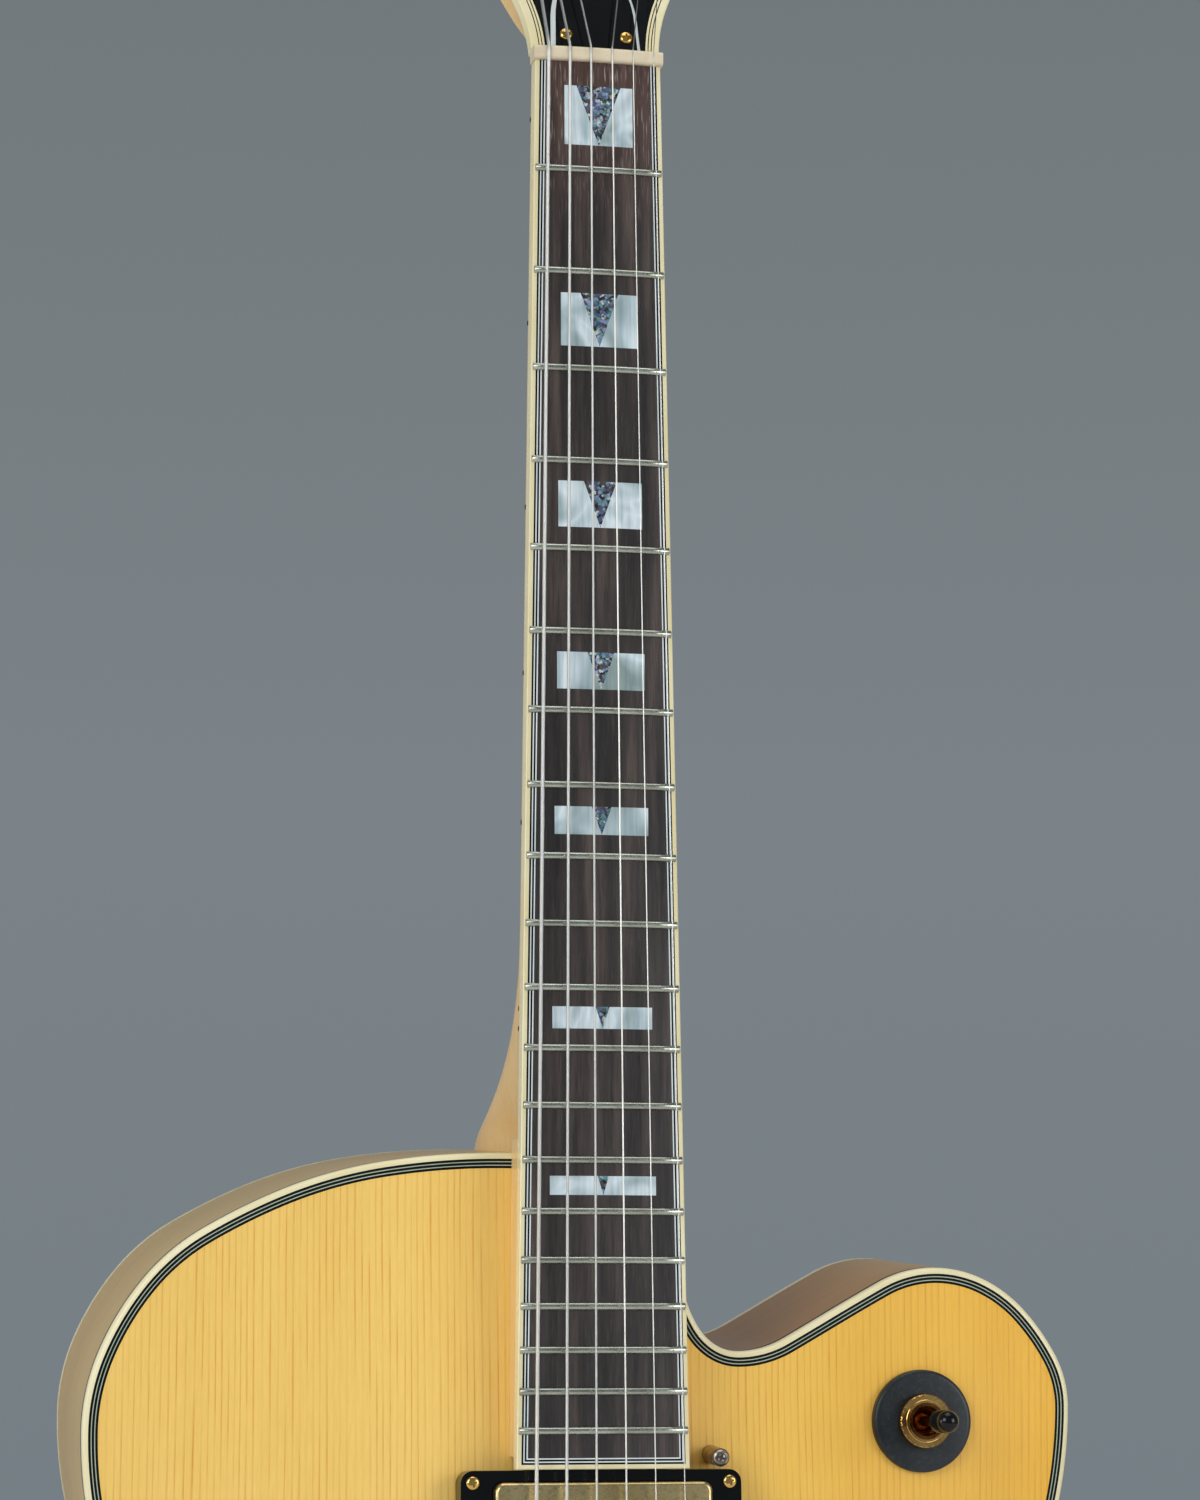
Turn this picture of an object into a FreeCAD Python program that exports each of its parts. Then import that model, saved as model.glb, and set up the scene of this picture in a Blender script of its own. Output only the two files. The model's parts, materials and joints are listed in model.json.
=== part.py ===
import FreeCAD, Part
import math
import os

Vector = FreeCAD.Vector
os.makedirs("parts", exist_ok=True)

# Scale and fingerboard
scale_length = 647.7
semitones = 12
body_fret = 14
neck_pitch_deg = 4.0
board_nut_width = 42.0
board_end_width = 55.5
board_length = 455.6
last_fret_gap = 5.0
board_thickness = 6.4
board_radius = 305.0
board_binding_width = 1.45
board_purfling_width = 2.0
fret_width = 2.4
fret_height = 1.1
fret_edge_gap = 0.5
tang_width = 0.6
tang_depth = 2.4
inlay_depth = 1.8

# Pearl blocks: fret, length by the fret gap, width by the bare board, wedge by the block
inlay_shares = (
    (1, 0.55, 0.64, 0.65),
    (3, 0.547, 0.68, 0.49),
    (5, 0.526, 0.70, 0.39),
    (7, 0.469, 0.70, 0.31),
    (9, 0.394, 0.72, 0.21),
    (12, 0.363, 0.73, 0.14),
    (15, 0.369, 0.746, 0.105),
)

# Neck shaft, heel and neck extension
neck_depth_nut = 20.5
neck_depth_heel = 23.5
heel_run = 66.0
heel_taper_share = 0.04
shaft_squareness = 2.2
section_steps = 5
head_blend = 12.0
extension_corner = 4.0

# Heel sections: way along the heel, depth between shaft and back, squareness of the section
heel_shares = (
    (-0.12, 0.0, 2.2),
    (0.02, 0.02, 2.3),
    (0.21, 0.15, 2.8),
    (0.42, 0.33, 3.6),
    (0.59, 0.53, 5.0),
    (0.71, 0.75, 6.5),
    (0.80, 0.93, 8.0),
    (0.89, 1.0, 9.0),
    (1.16, 1.02, 9.0),
)
heel_sections = 20

# Nut and headstock
nut_width = 43.2
nut_thickness = 4.8
nut_rise = 1.85
nut_rounding = 1.2
head_pitch_deg = 14.0
head_width = 80.0
head_length = 190.0
head_thickness = 15.0
overlay_thickness = 2.0
head_binding_width = 4.6
head_binding_height = 5.0

# Right half of the headstock from the nut up: across, along, heading in degrees
head_shares = (
    (0.537, 0.0, 88),
    (0.635, 0.1016, 69),
    (0.90, 0.24, 69),
    (0.97, 0.38, 84),
    (1.0, 0.9, 90),
    (0.86, 0.975, 165),
    (0.0, 1.0, 180),
)

# The same on the back, where the round of the neck runs out into the headstock
head_back_shares = (
    (0.2, 0.0, 45),
    (0.592, 0.1016, 62),
    (0.885, 0.24, 68),
    (0.97, 0.38, 84),
    (1.0, 0.9, 90),
    (0.86, 0.975, 165),
    (0.0, 1.0, 180),
)

# Truss rod and its cover
truss_radius = 2.4
truss_depth = 13.4
truss_end_gap = 22.0
truss_nut_radius = 4.0
truss_nut_length = 10.0
truss_nut_start = 9.0
truss_pocket_width = 10.0
truss_pocket_length = 20.0
cover_width = 30.2
cover_length = 50.0
cover_thickness = 2.0
cover_nut_gap = 0.4
cover_screw_across = 20.2
cover_screw_edge = 4.6

# Right half of the cover from the nut up: across, along, heading in degrees
cover_shares = (
    (1.0, 0.0, 93),
    (0.82, 0.45, 110),
    (0.62, 0.8, 90),
    (0.0, 1.0, 180),
)

# Body outline, rim and plates
upper_bout = 321.2
waist = 256.0
lower_bout = 441.0
body_length = 530.0
body_depth = 88.0
board_rise = 15.5
edge_past_joint = 1.8
plate_thickness = 5.5
top_arch = 18.0
back_arch = 17.0
arch_margin = 7.0
arch_reach = 125.0
arch_power = 1.6
arch_columns = 34
arch_rows = 40
arch_border = 12.0
outline_step = 2.0
binding_width = 1.8
side_thickness = binding_width
glue_line = 0.05
lining_gap = 0.1
purfling_width = 3.9
purfling_depth = 1.6
lining_width = 6.0
lining_height = 14.0
neck_block_width = 76.0
neck_block_length = 58.0
tail_block_width = 84.0
tail_block_length = 26.0
tone_bar_width = 9.0
tone_bar_height = 16.0
tone_bar_across = 108.0
tone_bar_start_share = 0.16
tone_bar_end_share = 0.86

# Outline against the clock from the neck: width it follows, across, down, heading in degrees
outline_shares = (
    (upper_bout, -0.187, 0.0, 180),
    (upper_bout, -0.636, 0.0247, 203.3),
    (upper_bout, -0.892, 0.0768, 231.3),
    (upper_bout, -1.003, 0.165, 270),
    (waist, -1.0, 0.405, 270),
    (lower_bout, -1.0, 0.7015, 270),
    (lower_bout, 0.0, 1.0, 0),
    (lower_bout, 1.0, 0.7015, 90),
    (waist, 1.0, 0.405, 90),
    (upper_bout, 0.994, 0.153, 90),
    (upper_bout, 0.900, 0.0936, 133.5),
    (upper_bout, 0.7105, 0.0679, 180),
    (upper_bout, 0.4888, 0.0951, 210.1),
    (upper_bout, 0.302, 0.1185, 180),
    (upper_bout, 0.2192, 0.1032, 121.3),
    (upper_bout, 0.1806, 0.06, 90),
)
tail_span = 6

# Sound holes
f_hole_length = 165.0
f_hole_across = 212.0
f_hole_down_share = 0.53
f_hole_lean_deg = 9.0
f_hole_binding_width = 1.3
upper_eye_share = 0.036
lower_eye_share = 0.046

# Stroke of the bass-side hole: across, up, heading in degrees, half width
f_hole_shares = (
    (-0.085, -0.385, 270, 0.008),
    (-0.030, -0.440, 0, 0.012),
    (0.024, -0.350, 92, 0.020),
    (0.0, 0.0, 96, 0.034),
    (-0.024, 0.350, 92, 0.020),
    (0.030, 0.440, 0, 0.012),
    (0.085, 0.385, 270, 0.008),
)

# Strings, thick to thin
string_radii = (0.62, 0.50, 0.38, 0.28, 0.19, 0.14)
nut_string_spread = 35.2
bridge_string_spread = 52.4
nut_string_shift = 0.7
bridge_string_shift = 1.5
nut_string_height = 1.7
bridge_string_height = 5.0
saddle_setback = 2.0
string_bend = 12.0
string_slot_gap = 0.06
string_seat_gap = 0.15
ball_radius = 1.9
ball_length = 3.0

# Bridge
saddle_length = 104.0
saddle_width = 9.0
saddle_height = 11.5
saddle_crest_width = 1.6
saddle_crest_drop = 1.8
stud_spread = 75.0
stud_radius = 2.4
stud_in_base = 6.0
stud_in_saddle = 5.0
saddle_lower_travel = 1.0
wheel_radius = 10.5
wheel_thickness = 3.2
wheel_notches = 26
wheel_notch_depth = 0.6
wheel_seat_gap = 0.05
wheel_base_gap = 1.6
thread_gap = 0.05
stud_slide_gap = 0.3
base_length = 150.0
base_width = 13.0
base_end_drop = 4.5
base_flat_share = 0.66
base_relief_height = 3.0
base_relief_share = 0.36

# Tailpiece
hinge_rise = 9.0
hinge_radius = 4.0
hinge_pin_radius = 1.9
hinge_pin_gap = 0.05
hinge_side_gap = 0.3
bracket_width = 40.0
bracket_thickness = 2.6
bracket_reach = 52.0
tail_knuckle_share = 0.48
crossbar_reach = 122.0
crossbar_length = 92.0
crossbar_width = 13.0
crossbar_depth = 9.0
crossbar_rounding = 2.5
tail_rod_radius = 2.3
tail_rod_foot = 13.0
tail_rod_spread = 72.0
string_hole_gap = 0.7

# Pickups
ring_length = 90.0
ring_width = 45.5
ring_corner = 4.0
ring_wall = 2.2
ring_face_depth = 4.0
ring_board_gap = 0.3
bridge_pickup_share = 0.865
ring_screw_inset = 3.8
cover_fit_gap = 0.3
pickup_length = 69.5
pickup_width = 38.2
pickup_height = 17.0
pickup_rise = 0.5
pickup_wall = 0.8
pickup_corner = 3.0
pickup_rounding = 1.4
pole_spread = 49.0
pole_offset = 9.3
pole_radius = 2.4
pole_length = 14.0
pole_rise = 0.9
coil_width = 15.6
coil_height = 10.5
coil_drop = 1.2
magnet_width = 3.0
base_plate_thickness = 1.5
pickup_ear = 6.0
pickup_ear_width = 13.0
height_screw_inset = 4.6
rout_gap = 1.5

# Controls
knob_radius = 12.5
knob_height = 15.0
knob_top_share = 0.78
knob_lift = 2.4
knob_hollow_share = 0.6
control_shaft_radius = 3.0
shaft_fit_gap = 0.1
control_bushing_radius = 4.7
control_bushing_length = 9.0
pot_radius = 12.0
pot_height = 10.0
pot_drop = 1.6
pot_nut_radius = 6.6
pot_nut_height = 2.0
# Knob places: across by half the lower bout, down by the body length
knob_shares = (
    (0.50, 0.715),
    (0.40, 0.815),
    (0.72, 0.735),
    (0.62, 0.845),
)
knob_names = ("neck_volume", "bridge_volume", "neck_tone", "bridge_tone")

# Selector switch
switch_across = 108.5
switch_down = 85.0
washer_radius = 16.4
washer_height = 2.6
switch_bushing_radius = 5.9
switch_bushing_rise = 6.4
switch_nut_radius = 8.4
switch_nut_height = 3.6
lever_radius = 1.7
lever_length = 20.0
lever_ball_radius = 3.2
lever_ball_gap = 0.1
lever_pin_radius = 0.8
lever_pin_length = 9.0
lever_tip_radius = 3.6
lever_tip_length = 11.0
switch_cone_deg = 18.0
switch_frame_width = 16.0
switch_frame_length = 36.0
switch_frame_height = 26.0

# Output jack, strap buttons and the pickguard standoff
jack_hole_radius = 3.25
jack_sleeve_radius = 4.7
jack_length = 24.0
jack_flange_radius = 8.0
jack_flange_height = 3.2
button_base_radius = 4.6
button_waist_radius = 3.2
button_flange_radius = 7.0
button_length = 14.0
button_spigot_radius = 3.0
button_spigot_length = 12.0
heel_button_inset = 32.0
standoff_board_gap = 8.05
standoff_ring_gap = 0.3
standoff_radius = 2.9
standoff_height = 13.5

# Screws
screw_head_radius = 2.15
screw_head_height = 1.2
screw_shank_radius = 1.1
screw_length = 9.0
recess_radius_share = 0.55
recess_width_share = 0.26

# Tuners
post_spread = 54.0
post_first = 57.0
post_step = 39.0
post_radius = 3.1
post_waist_radius = 2.5
post_rise = 20.0
post_cap = 4.0
post_waist = 9.0
string_eye_radius = 0.9
post_wheel_radius = 5.2
post_wheel_height = 3.4
post_wheel_lift = 3.4
post_tail = 2.0
post_fit_gap = 0.08
post_hole_radius = 5.0
bushing_flange_radius = 7.2
bushing_flange_height = 2.4
housing_width = 17.0
housing_above = 7.6
housing_below = 12.4
housing_height = 10.6
housing_rounding = 2.0
wheel_pocket_gap = 0.5
worm_radius = 2.6
worm_gap = 0.3
key_shaft_radius = 2.2
key_collar_radius = 3.6
key_collar_length = 4.0
key_overhang = 6.0
key_length = 17.0
key_width = 20.0
key_thickness = 6.6
key_rounding = 2.4

# Room for cuts, and what counts as no length
overrun = 5.0
body_room = 60.0
tiny = 1e-7

pitch = math.radians(neck_pitch_deg)
head_drop = board_thickness - overlay_thickness
fret_count = int(semitones * math.log2(scale_length / (scale_length - board_length + last_fret_gap)))
nodes = {}


def fret_distance(number):
    return scale_length * (1 - 2 ** (-number / semitones))


def board_half(distance):
    return (board_nut_width + (board_end_width - board_nut_width) * distance / board_length) / 2


def camber(across):
    return board_radius - math.sqrt(board_radius ** 2 - across ** 2)


def on_neck(shape):
    turned = shape.copy()
    turned.rotate(Vector(0, 0, 0), Vector(1, 0, 0), -neck_pitch_deg)
    return turned


def on_head(shape):
    turned = shape.copy()
    turned.rotate(Vector(0, 0, 0), Vector(1, 0, 0), -head_pitch_deg)
    turned.translate(Vector(0, head_drop, nut_thickness))
    return on_neck(turned)


def neck_point(across, depth, distance):
    return Vector(
        across,
        depth * math.cos(pitch) - distance * math.sin(pitch),
        -depth * math.sin(pitch) - distance * math.cos(pitch),
    )


def head_point(across, depth, along):
    marked = on_head(Part.Vertex(Vector(across, depth, along)))
    return marked.Point


def plate(corners, front, back):
    points = [Vector(x, front, z) for x, z in corners]
    return Part.Face(Part.makePolygon(points + points[:1])).extrude(Vector(0, back - front, 0))


def block(x_low, x_high, y_low, y_high, z_low, z_high):
    corner = Vector(x_low, y_low, z_low)
    return Part.makeBox(x_high - x_low, y_high - y_low, z_high - z_low, corner)


def rounded_block(length, width, front, back, corner, centre_z):
    box = block(-length / 2, length / 2, front, back, centre_z - width / 2, centre_z + width / 2)
    upright = [e for e in box.Edges if abs(e.tangentAt(e.FirstParameter).y) > 1 - tiny]
    return box.makeFillet(corner, upright)


def turned(profile, axis=Vector(0, 1, 0)):
    points = [Vector(radius, depth, 0) for radius, depth in profile]
    face = Part.Face(Part.makePolygon(points + points[:1]))
    return face.revolve(Vector(0, 0, 0), axis, 360)


def heading(degrees):
    return Vector(math.cos(math.radians(degrees)), 0, math.sin(math.radians(degrees)))


def left_of(direction):
    return Vector(-direction.z, 0, direction.x)


def arc_piece(start, direction, end):
    normal = left_of(direction)
    chord = end - start
    lean = normal.dot(chord)
    if abs(lean) < tiny * chord.Length:
        return [(start, normal), None, (end, normal)]
    radius = chord.dot(chord) / (2 * lean)
    centre = start + normal * radius
    end_normal = (centre - end) * (1 / radius)
    middle_normal = (normal + end_normal).normalize()
    return [(start, normal), (centre - middle_normal * radius, middle_normal), (end, end_normal)]


def biarc(start, start_heading, end, end_heading):
    first = heading(start_heading)
    last = heading(end_heading)
    chord = end - start
    spread = 2 * (1 - first.dot(last))
    along = chord.dot(first + last)
    if spread < tiny:
        reach = chord.dot(chord) / (2 * along)
    else:
        reach = (math.sqrt(along ** 2 + spread * chord.dot(chord)) - along) / spread
    joint = (start + first * reach + end - last * reach) / 2
    opening = arc_piece(start, first, joint)
    turn = opening[2][1]
    return [opening, arc_piece(joint, Vector(turn.z, 0, -turn.x), end)]


def chain(stations):
    pieces = []
    for (start, start_heading), (end, end_heading) in zip(stations, stations[1:]):
        pieces += biarc(start, start_heading, end, end_heading)
    return pieces


def inset_edges(pieces, inset, depth):
    edges = []
    for piece in pieces:
        points = [p[0] + p[1] * inset + Vector(0, depth, 0) for p in piece if p]
        if len(points) == 2:
            edges.append(Part.LineSegment(points[0], points[1]).toShape())
        else:
            edges.append(Part.Arc(points[0], points[1], points[2]).toShape())
    return edges


def mirrored_stations(shares, half_width, length):
    right = [(Vector(x * half_width, 0, z * length), turn) for x, z, turn in shares]
    left = [(Vector(-p.x, 0, p.z), -turn) for p, turn in reversed(right[:-1])]
    return right + left


def closed_below(pieces, inset, front, back, floor):
    edges = inset_edges(pieces, inset, front)
    start = pieces[0][0][0] + pieces[0][0][1] * inset + Vector(0, front, 0)
    end = pieces[-1][-1][0] + pieces[-1][-1][1] * inset + Vector(0, front, 0)
    corners = [end, Vector(end.x, front, floor), Vector(start.x, front, floor), start]
    for one, other in zip(corners, corners[1:]):
        if (one - other).Length > tiny:
            edges.append(Part.LineSegment(one, other).toShape())
    return Part.Face(Part.Wire(edges)).extrude(Vector(0, back - front, 0))


def screw(length=screw_length):
    dome = screw_head_height / 2
    head = Part.makeCylinder(screw_head_radius, screw_head_height, Vector(0, 0, 0), Vector(0, -1, 0))
    front = [e for e in head.Edges if abs(e.CenterOfMass.y + screw_head_height) < tiny]
    head = head.makeFillet(dome, front)
    shank = Part.makeCylinder(screw_shank_radius, length, Vector(0, 0, 0), Vector(0, 1, 0))
    arm = screw_head_radius * recess_radius_share
    slot = screw_head_radius * recess_width_share / 2
    cross = block(-arm, arm, -screw_head_height, -dome, -slot, slot)
    cross = cross.fuse(block(-slot, slot, -screw_head_height, -dome, -arm, arm))
    return head.fuse(shank).cut(cross)


def moved(shape, x, y, z):
    placed = shape.copy()
    placed.translate(Vector(x, y, z))
    return placed


# Places that the neck and the body share
joint_distance = fret_distance(body_fret)
joint_z = -joint_distance * math.cos(pitch)
rim_front = board_rise - joint_distance * math.sin(pitch)
rim_back = rim_front + body_depth
body_top = joint_z + edge_past_joint
tail_z = body_top - body_length
sides_front = rim_front + plate_thickness
sides_back = rim_back - plate_thickness

# Body outline as one chain of tangent arcs, closed by a corner at the treble side of the neck
outline_stations = [
    (Vector(width / 2 * across, 0, body_top - body_length * down), turn)
    for width, across, down, turn in outline_shares
]
outline_pieces = chain(outline_stations)


def outline_wire(inset, depth):
    edges = inset_edges(outline_pieces, inset, depth)
    end = outline_stations[-1][0] + Vector(-inset, depth, 0)
    start = outline_stations[0][0] + Vector(0, depth, -inset)
    corner = Vector(end.x, depth, start.z)
    edges.append(Part.LineSegment(end, corner).toShape())
    edges.append(Part.LineSegment(corner, start).toShape())
    return Part.Wire(edges)


def outline_prism(inset, front, back):
    return Part.Face(outline_wire(inset, front)).extrude(Vector(0, back - front, 0))


def outline_ring(outer, inner, front, back):
    return outline_prism(outer, front, back).cut(outline_prism(inner, front, back))


outline_points = outline_wire(0, 0).discretize(Distance=outline_step)


def inside_outline(x, z):
    inside = False
    for a, b in zip(outline_points, outline_points[1:] + outline_points[:1]):
        if (a.z > z) != (b.z > z) and x < a.x + (z - a.z) * (b.x - a.x) / (b.z - a.z):
            inside = not inside
    return inside


# Carved arch: a smooth mean distance to the whole edge, flat at the rim, hollow, then full
def arch_share(x, z):
    if not inside_outline(x, z):
        return 0
    pull = sum(outline_step / ((x - p.x) ** 2 + (z - p.z) ** 2) ** 2 for p in outline_points)
    mean_distance = (2 * pull / math.pi) ** (-1 / 3)
    share = min(1, max(0, (mean_distance - arch_margin) / arch_reach))
    return 1 - (1 - share ** arch_power) ** arch_power


def arched_faces():
    left = -lower_bout / 2 - arch_border
    top = body_top + arch_border
    across_step = (lower_bout + 2 * arch_border) / (arch_columns - 1)
    down_step = (body_length + 2 * arch_border) / (arch_rows - 1)
    fronts = []
    backs = []
    for column in range(arch_columns):
        x = left + column * across_step
        stations = [top - row * down_step for row in range(arch_rows)]
        shares = [arch_share(x, z) for z in stations]
        fronts.append([Vector(x, rim_front - top_arch * s, z) for s, z in zip(shares, stations)])
        backs.append([Vector(x, rim_back + back_arch * s, z) for s, z in zip(shares, stations)])
    surfaces = []
    for grid in (fronts, backs):
        surface = Part.BSplineSurface()
        surface.interpolate(grid)
        surfaces.append(surface)
    return surfaces


top_surface, back_surface = arched_faces()
top_face = top_surface.toShape()
back_face = back_surface.toShape()
inner_drop = plate_thickness + glue_line
before_top = moved(top_face, 0, -glue_line, 0).extrude(Vector(0, -body_room, 0))
under_top = moved(top_face, 0, inner_drop, 0).extrude(Vector(0, body_depth, 0))
under_back = moved(back_face, 0, -inner_drop, 0).extrude(Vector(0, -body_depth, 0))


def top_place(x, z):
    u, v = top_surface.parameter(Vector(x, rim_front - top_arch * arch_share(x, z), z))
    point = top_surface.value(u, v)
    normal = top_surface.normal(u, v)
    if normal.y > 0:
        normal = -normal
    return point, normal


# A shape made round the -Y axis at the origin, set on the top at a place and square to it
def on_top(shape, x, z):
    point, normal = top_place(x, z)
    placed = shape.copy()
    placed.Placement = FreeCAD.Placement(point, FreeCAD.Rotation(Vector(0, -1, 0), normal))
    return placed


# Fingerboard, its edge plies, inlays and frets
def board_trapezoid(inset, start):
    half_start = board_half(-start) - inset
    half_end = board_half(board_length) - inset
    end = inset - board_length
    return [(-half_start, start), (-half_end, end), (half_end, end), (half_start, start)]


def board_strip(outer, inner):
    ring = board_trapezoid(outer, 0) + list(reversed(board_trapezoid(inner, 0)))
    return plate(ring, -overrun, board_thickness)


crown = Part.makeCylinder(
    board_radius,
    board_length + 2 * overrun,
    Vector(0, board_radius, -board_length - overrun),
)
edge_plies = board_binding_width + board_purfling_width
bare_board = plate(board_trapezoid(edge_plies, 0), -overrun, board_thickness)
pearl = []
abalone = []
for fret, length_share, width_share, wedge_share in inlay_shares:
    if fret > fret_count:
        continue
    gap_start = fret_distance(fret - 1)
    gap = fret_distance(fret) - gap_start
    middle = gap_start + gap / 2
    half_length = gap * length_share / 2
    half_width = (board_half(middle) - edge_plies) * width_share
    wedge_half = half_width * wedge_share
    upper = half_length - middle
    lower = -half_length - middle
    tablet = [(-half_width, upper), (-half_width, lower), (half_width, lower), (half_width, upper)]
    wedge = plate([(-wedge_half, upper), (0, lower), (wedge_half, upper)], -overrun, inlay_depth)
    wedge = wedge.common(crown)
    abalone.append(wedge)
    pearl.append(plate(tablet, -overrun, inlay_depth).common(crown).cut(wedge))

frets = []
tangs = []
crown_axis = Vector(0, board_radius, 0)
for number in range(1, fret_count + 1):
    distance = fret_distance(number)
    sweep = math.degrees((board_half(distance) - fret_edge_gap) / board_radius)
    foot_up = Vector(0, 0, fret_width / 2 - distance)
    foot_down = Vector(0, 0, -fret_width / 2 - distance)
    top = Vector(0, -fret_height, -distance)
    bow = Part.Arc(foot_up, top, foot_down).toShape()
    sole = Part.LineSegment(foot_down, foot_up).toShape()
    bead = Part.Face(Part.Wire([bow, sole]))
    bead.rotate(crown_axis, Vector(0, 0, 1), -sweep)
    bead = bead.revolve(crown_axis, Vector(0, 0, 1), 2 * sweep)
    tang_half = board_half(distance) - edge_plies
    tang = block(
        -tang_half, tang_half, -overrun, tang_depth, -tang_width / 2 - distance, tang_width / 2 - distance
    )
    tang = tang.common(crown)
    tangs.append(tang)
    frets.append(bead.fuse(tang))

rosewood = bare_board.common(crown).cut(Part.makeCompound(pearl + abalone + tangs))
nodes["fingerboard"] = on_neck(rosewood)
nodes["fingerboard_binding"] = on_neck(board_strip(0, board_binding_width).common(crown))
nodes["fingerboard_purfling"] = on_neck(board_strip(board_binding_width, edge_plies).common(crown))
nodes["frets"] = on_neck(Part.makeCompound(frets))
nodes["pearl_inlays"] = on_neck(Part.makeCompound(pearl))
nodes["abalone_inlays"] = on_neck(Part.makeCompound(abalone))


# Neck: one loft from the headstock to the heel, the headstock, and the extension over the top
def neck_section(distance, depth, squareness):
    half = board_half(distance)
    points = []
    for step in range(-section_steps, section_steps + 1):
        turn = math.pi / 2 * step / section_steps
        across = math.copysign(abs(math.sin(turn)) ** (2 / squareness), step)
        down = max(0, math.cos(turn)) ** (2 / squareness)
        if abs(step) == section_steps:
            down = 0
        half_here = half * across * (1 - heel_taper_share * down)
        points.append(Vector(half_here, board_thickness + (depth - board_thickness) * down, -distance))
    spline = Part.BSplineCurve()
    spline.interpolate(points)
    closing = Part.LineSegment(points[-1], points[0]).toShape()
    return Part.Wire([spline.toShape(), closing])


# A smooth curve without overshoot through the columns of a table
def eased(table, column, share):
    steps = [(b[column] - a[column]) / (b[0] - a[0]) for a, b in zip(table, table[1:])]
    slopes = [steps[0]]
    for one, other in zip(steps, steps[1:]):
        slopes.append(2 * one * other / (one + other) if one * other > 0 else 0)
    slopes.append(steps[-1])
    for index, (a, b) in enumerate(zip(table, table[1:])):
        if share <= b[0] or index == len(steps) - 1:
            span = b[0] - a[0]
            t = (share - a[0]) / span
            rise = a[column] * (1 - t) ** 2 * (1 + 2 * t) + b[column] * t ** 2 * (3 - 2 * t)
            return rise + span * t * (1 - t) * (slopes[index] * (1 - t) - slopes[index + 1] * t)


heel_start = joint_distance - heel_run
heel_depth = board_rise + body_depth
cove_share = heel_shares[0][0]
shaft_end = heel_start + heel_run * cove_share
shaft_sections = [
    neck_section(-head_blend, neck_depth_nut - head_drop, shaft_squareness),
    neck_section(0, neck_depth_nut, shaft_squareness),
    neck_section(shaft_end, neck_depth_heel, shaft_squareness),
]
heel_wires = []
for step in range(heel_sections + 1):
    share = cove_share + (heel_shares[-1][0] - cove_share) * step / heel_sections
    depth = neck_depth_heel + (heel_depth - neck_depth_heel) * eased(heel_shares, 1, share)
    squareness = eased(heel_shares, 2, share)
    heel_wires.append(neck_section(heel_start + heel_run * share, depth, squareness))
shaft = Part.makeLoft(shaft_sections, True, True).fuse(Part.makeLoft(heel_wires, True, False))
shaft = on_neck(shaft)
room = 2 * body_depth
above_body = block(-room, room, -room, rim_back, body_top, head_length)
shaft = shaft.common(above_body)

extension_start = edge_past_joint + overrun - joint_distance
extension_end = -board_length
extension_half = board_half(board_length)
extension = plate(
    [
        (-board_half(joint_distance), extension_start),
        (-extension_half, extension_end + extension_corner),
        (extension_corner - extension_half, extension_end),
        (extension_half - extension_corner, extension_end),
        (extension_half, extension_end + extension_corner),
        (board_half(joint_distance), extension_start),
    ],
    board_thickness,
    board_thickness + body_room,
)
extension = on_neck(extension).common(before_top)

head_half = head_width / 2
head_pieces = chain(mirrored_stations(head_shares, head_half, head_length))
head_back_pieces = chain(mirrored_stations(head_back_shares, head_half, head_length))


def head_plate(inset, front, back, floor):
    return closed_below(head_pieces, inset, front, back, floor)


def head_wire(pieces, depth):
    edges = inset_edges(pieces, 0, depth)
    start = pieces[0][0][0] + Vector(0, depth, 0)
    end = pieces[-1][-1][0] + Vector(0, depth, 0)
    edges.append(Part.LineSegment(end, start).toShape())
    return Part.Wire(edges)


head_flanks = [head_wire(head_pieces, head_binding_height), head_wire(head_back_pieces, head_thickness)]
head_core = Part.makeLoft(head_flanks, True, True)
core_step = head_plate(head_binding_width, overlay_thickness, head_binding_height + overlay_thickness, 0)
head_core = head_core.fuse(core_step)
overlay = head_plate(head_binding_width, 0, overlay_thickness, 0)
head_ring = head_plate(0, 0, head_binding_height, 0)
head_ring = head_ring.cut(head_plate(head_binding_width, 0, head_binding_height, -overrun))

cover_pieces = chain(mirrored_stations(cover_shares, cover_width / 2, cover_length))
cover = moved(closed_below(cover_pieces, 0, -cover_thickness, 0, 0), 0, 0, cover_nut_gap)

truss_rod = Part.makeCylinder(
    truss_radius,
    joint_distance - truss_end_gap + truss_nut_start,
    Vector(0, truss_depth, truss_end_gap - joint_distance),
)
truss_nut = Part.makeCylinder(
    truss_nut_radius, truss_nut_length, Vector(0, truss_depth, truss_nut_start)
)
truss_pocket = block(
    -truss_pocket_width / 2,
    truss_pocket_width / 2,
    -overrun,
    truss_depth + truss_nut_radius,
    truss_nut_start,
    truss_nut_start + truss_pocket_length,
)
nodes["truss_rod"] = on_neck(Part.makeCompound([truss_rod, truss_nut]))

# Screws, all of one kind
cover_screws = [
    moved(screw(), side * cover_screw_across / 2, -cover_thickness, cover_nut_gap + cover_screw_edge)
    for side in (-1, 1)
]
cover_screws.append(
    moved(screw(), 0, -cover_thickness, cover_nut_gap + cover_length - cover_screw_edge)
)
cover_screws = [on_head(s) for s in cover_screws]

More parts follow.
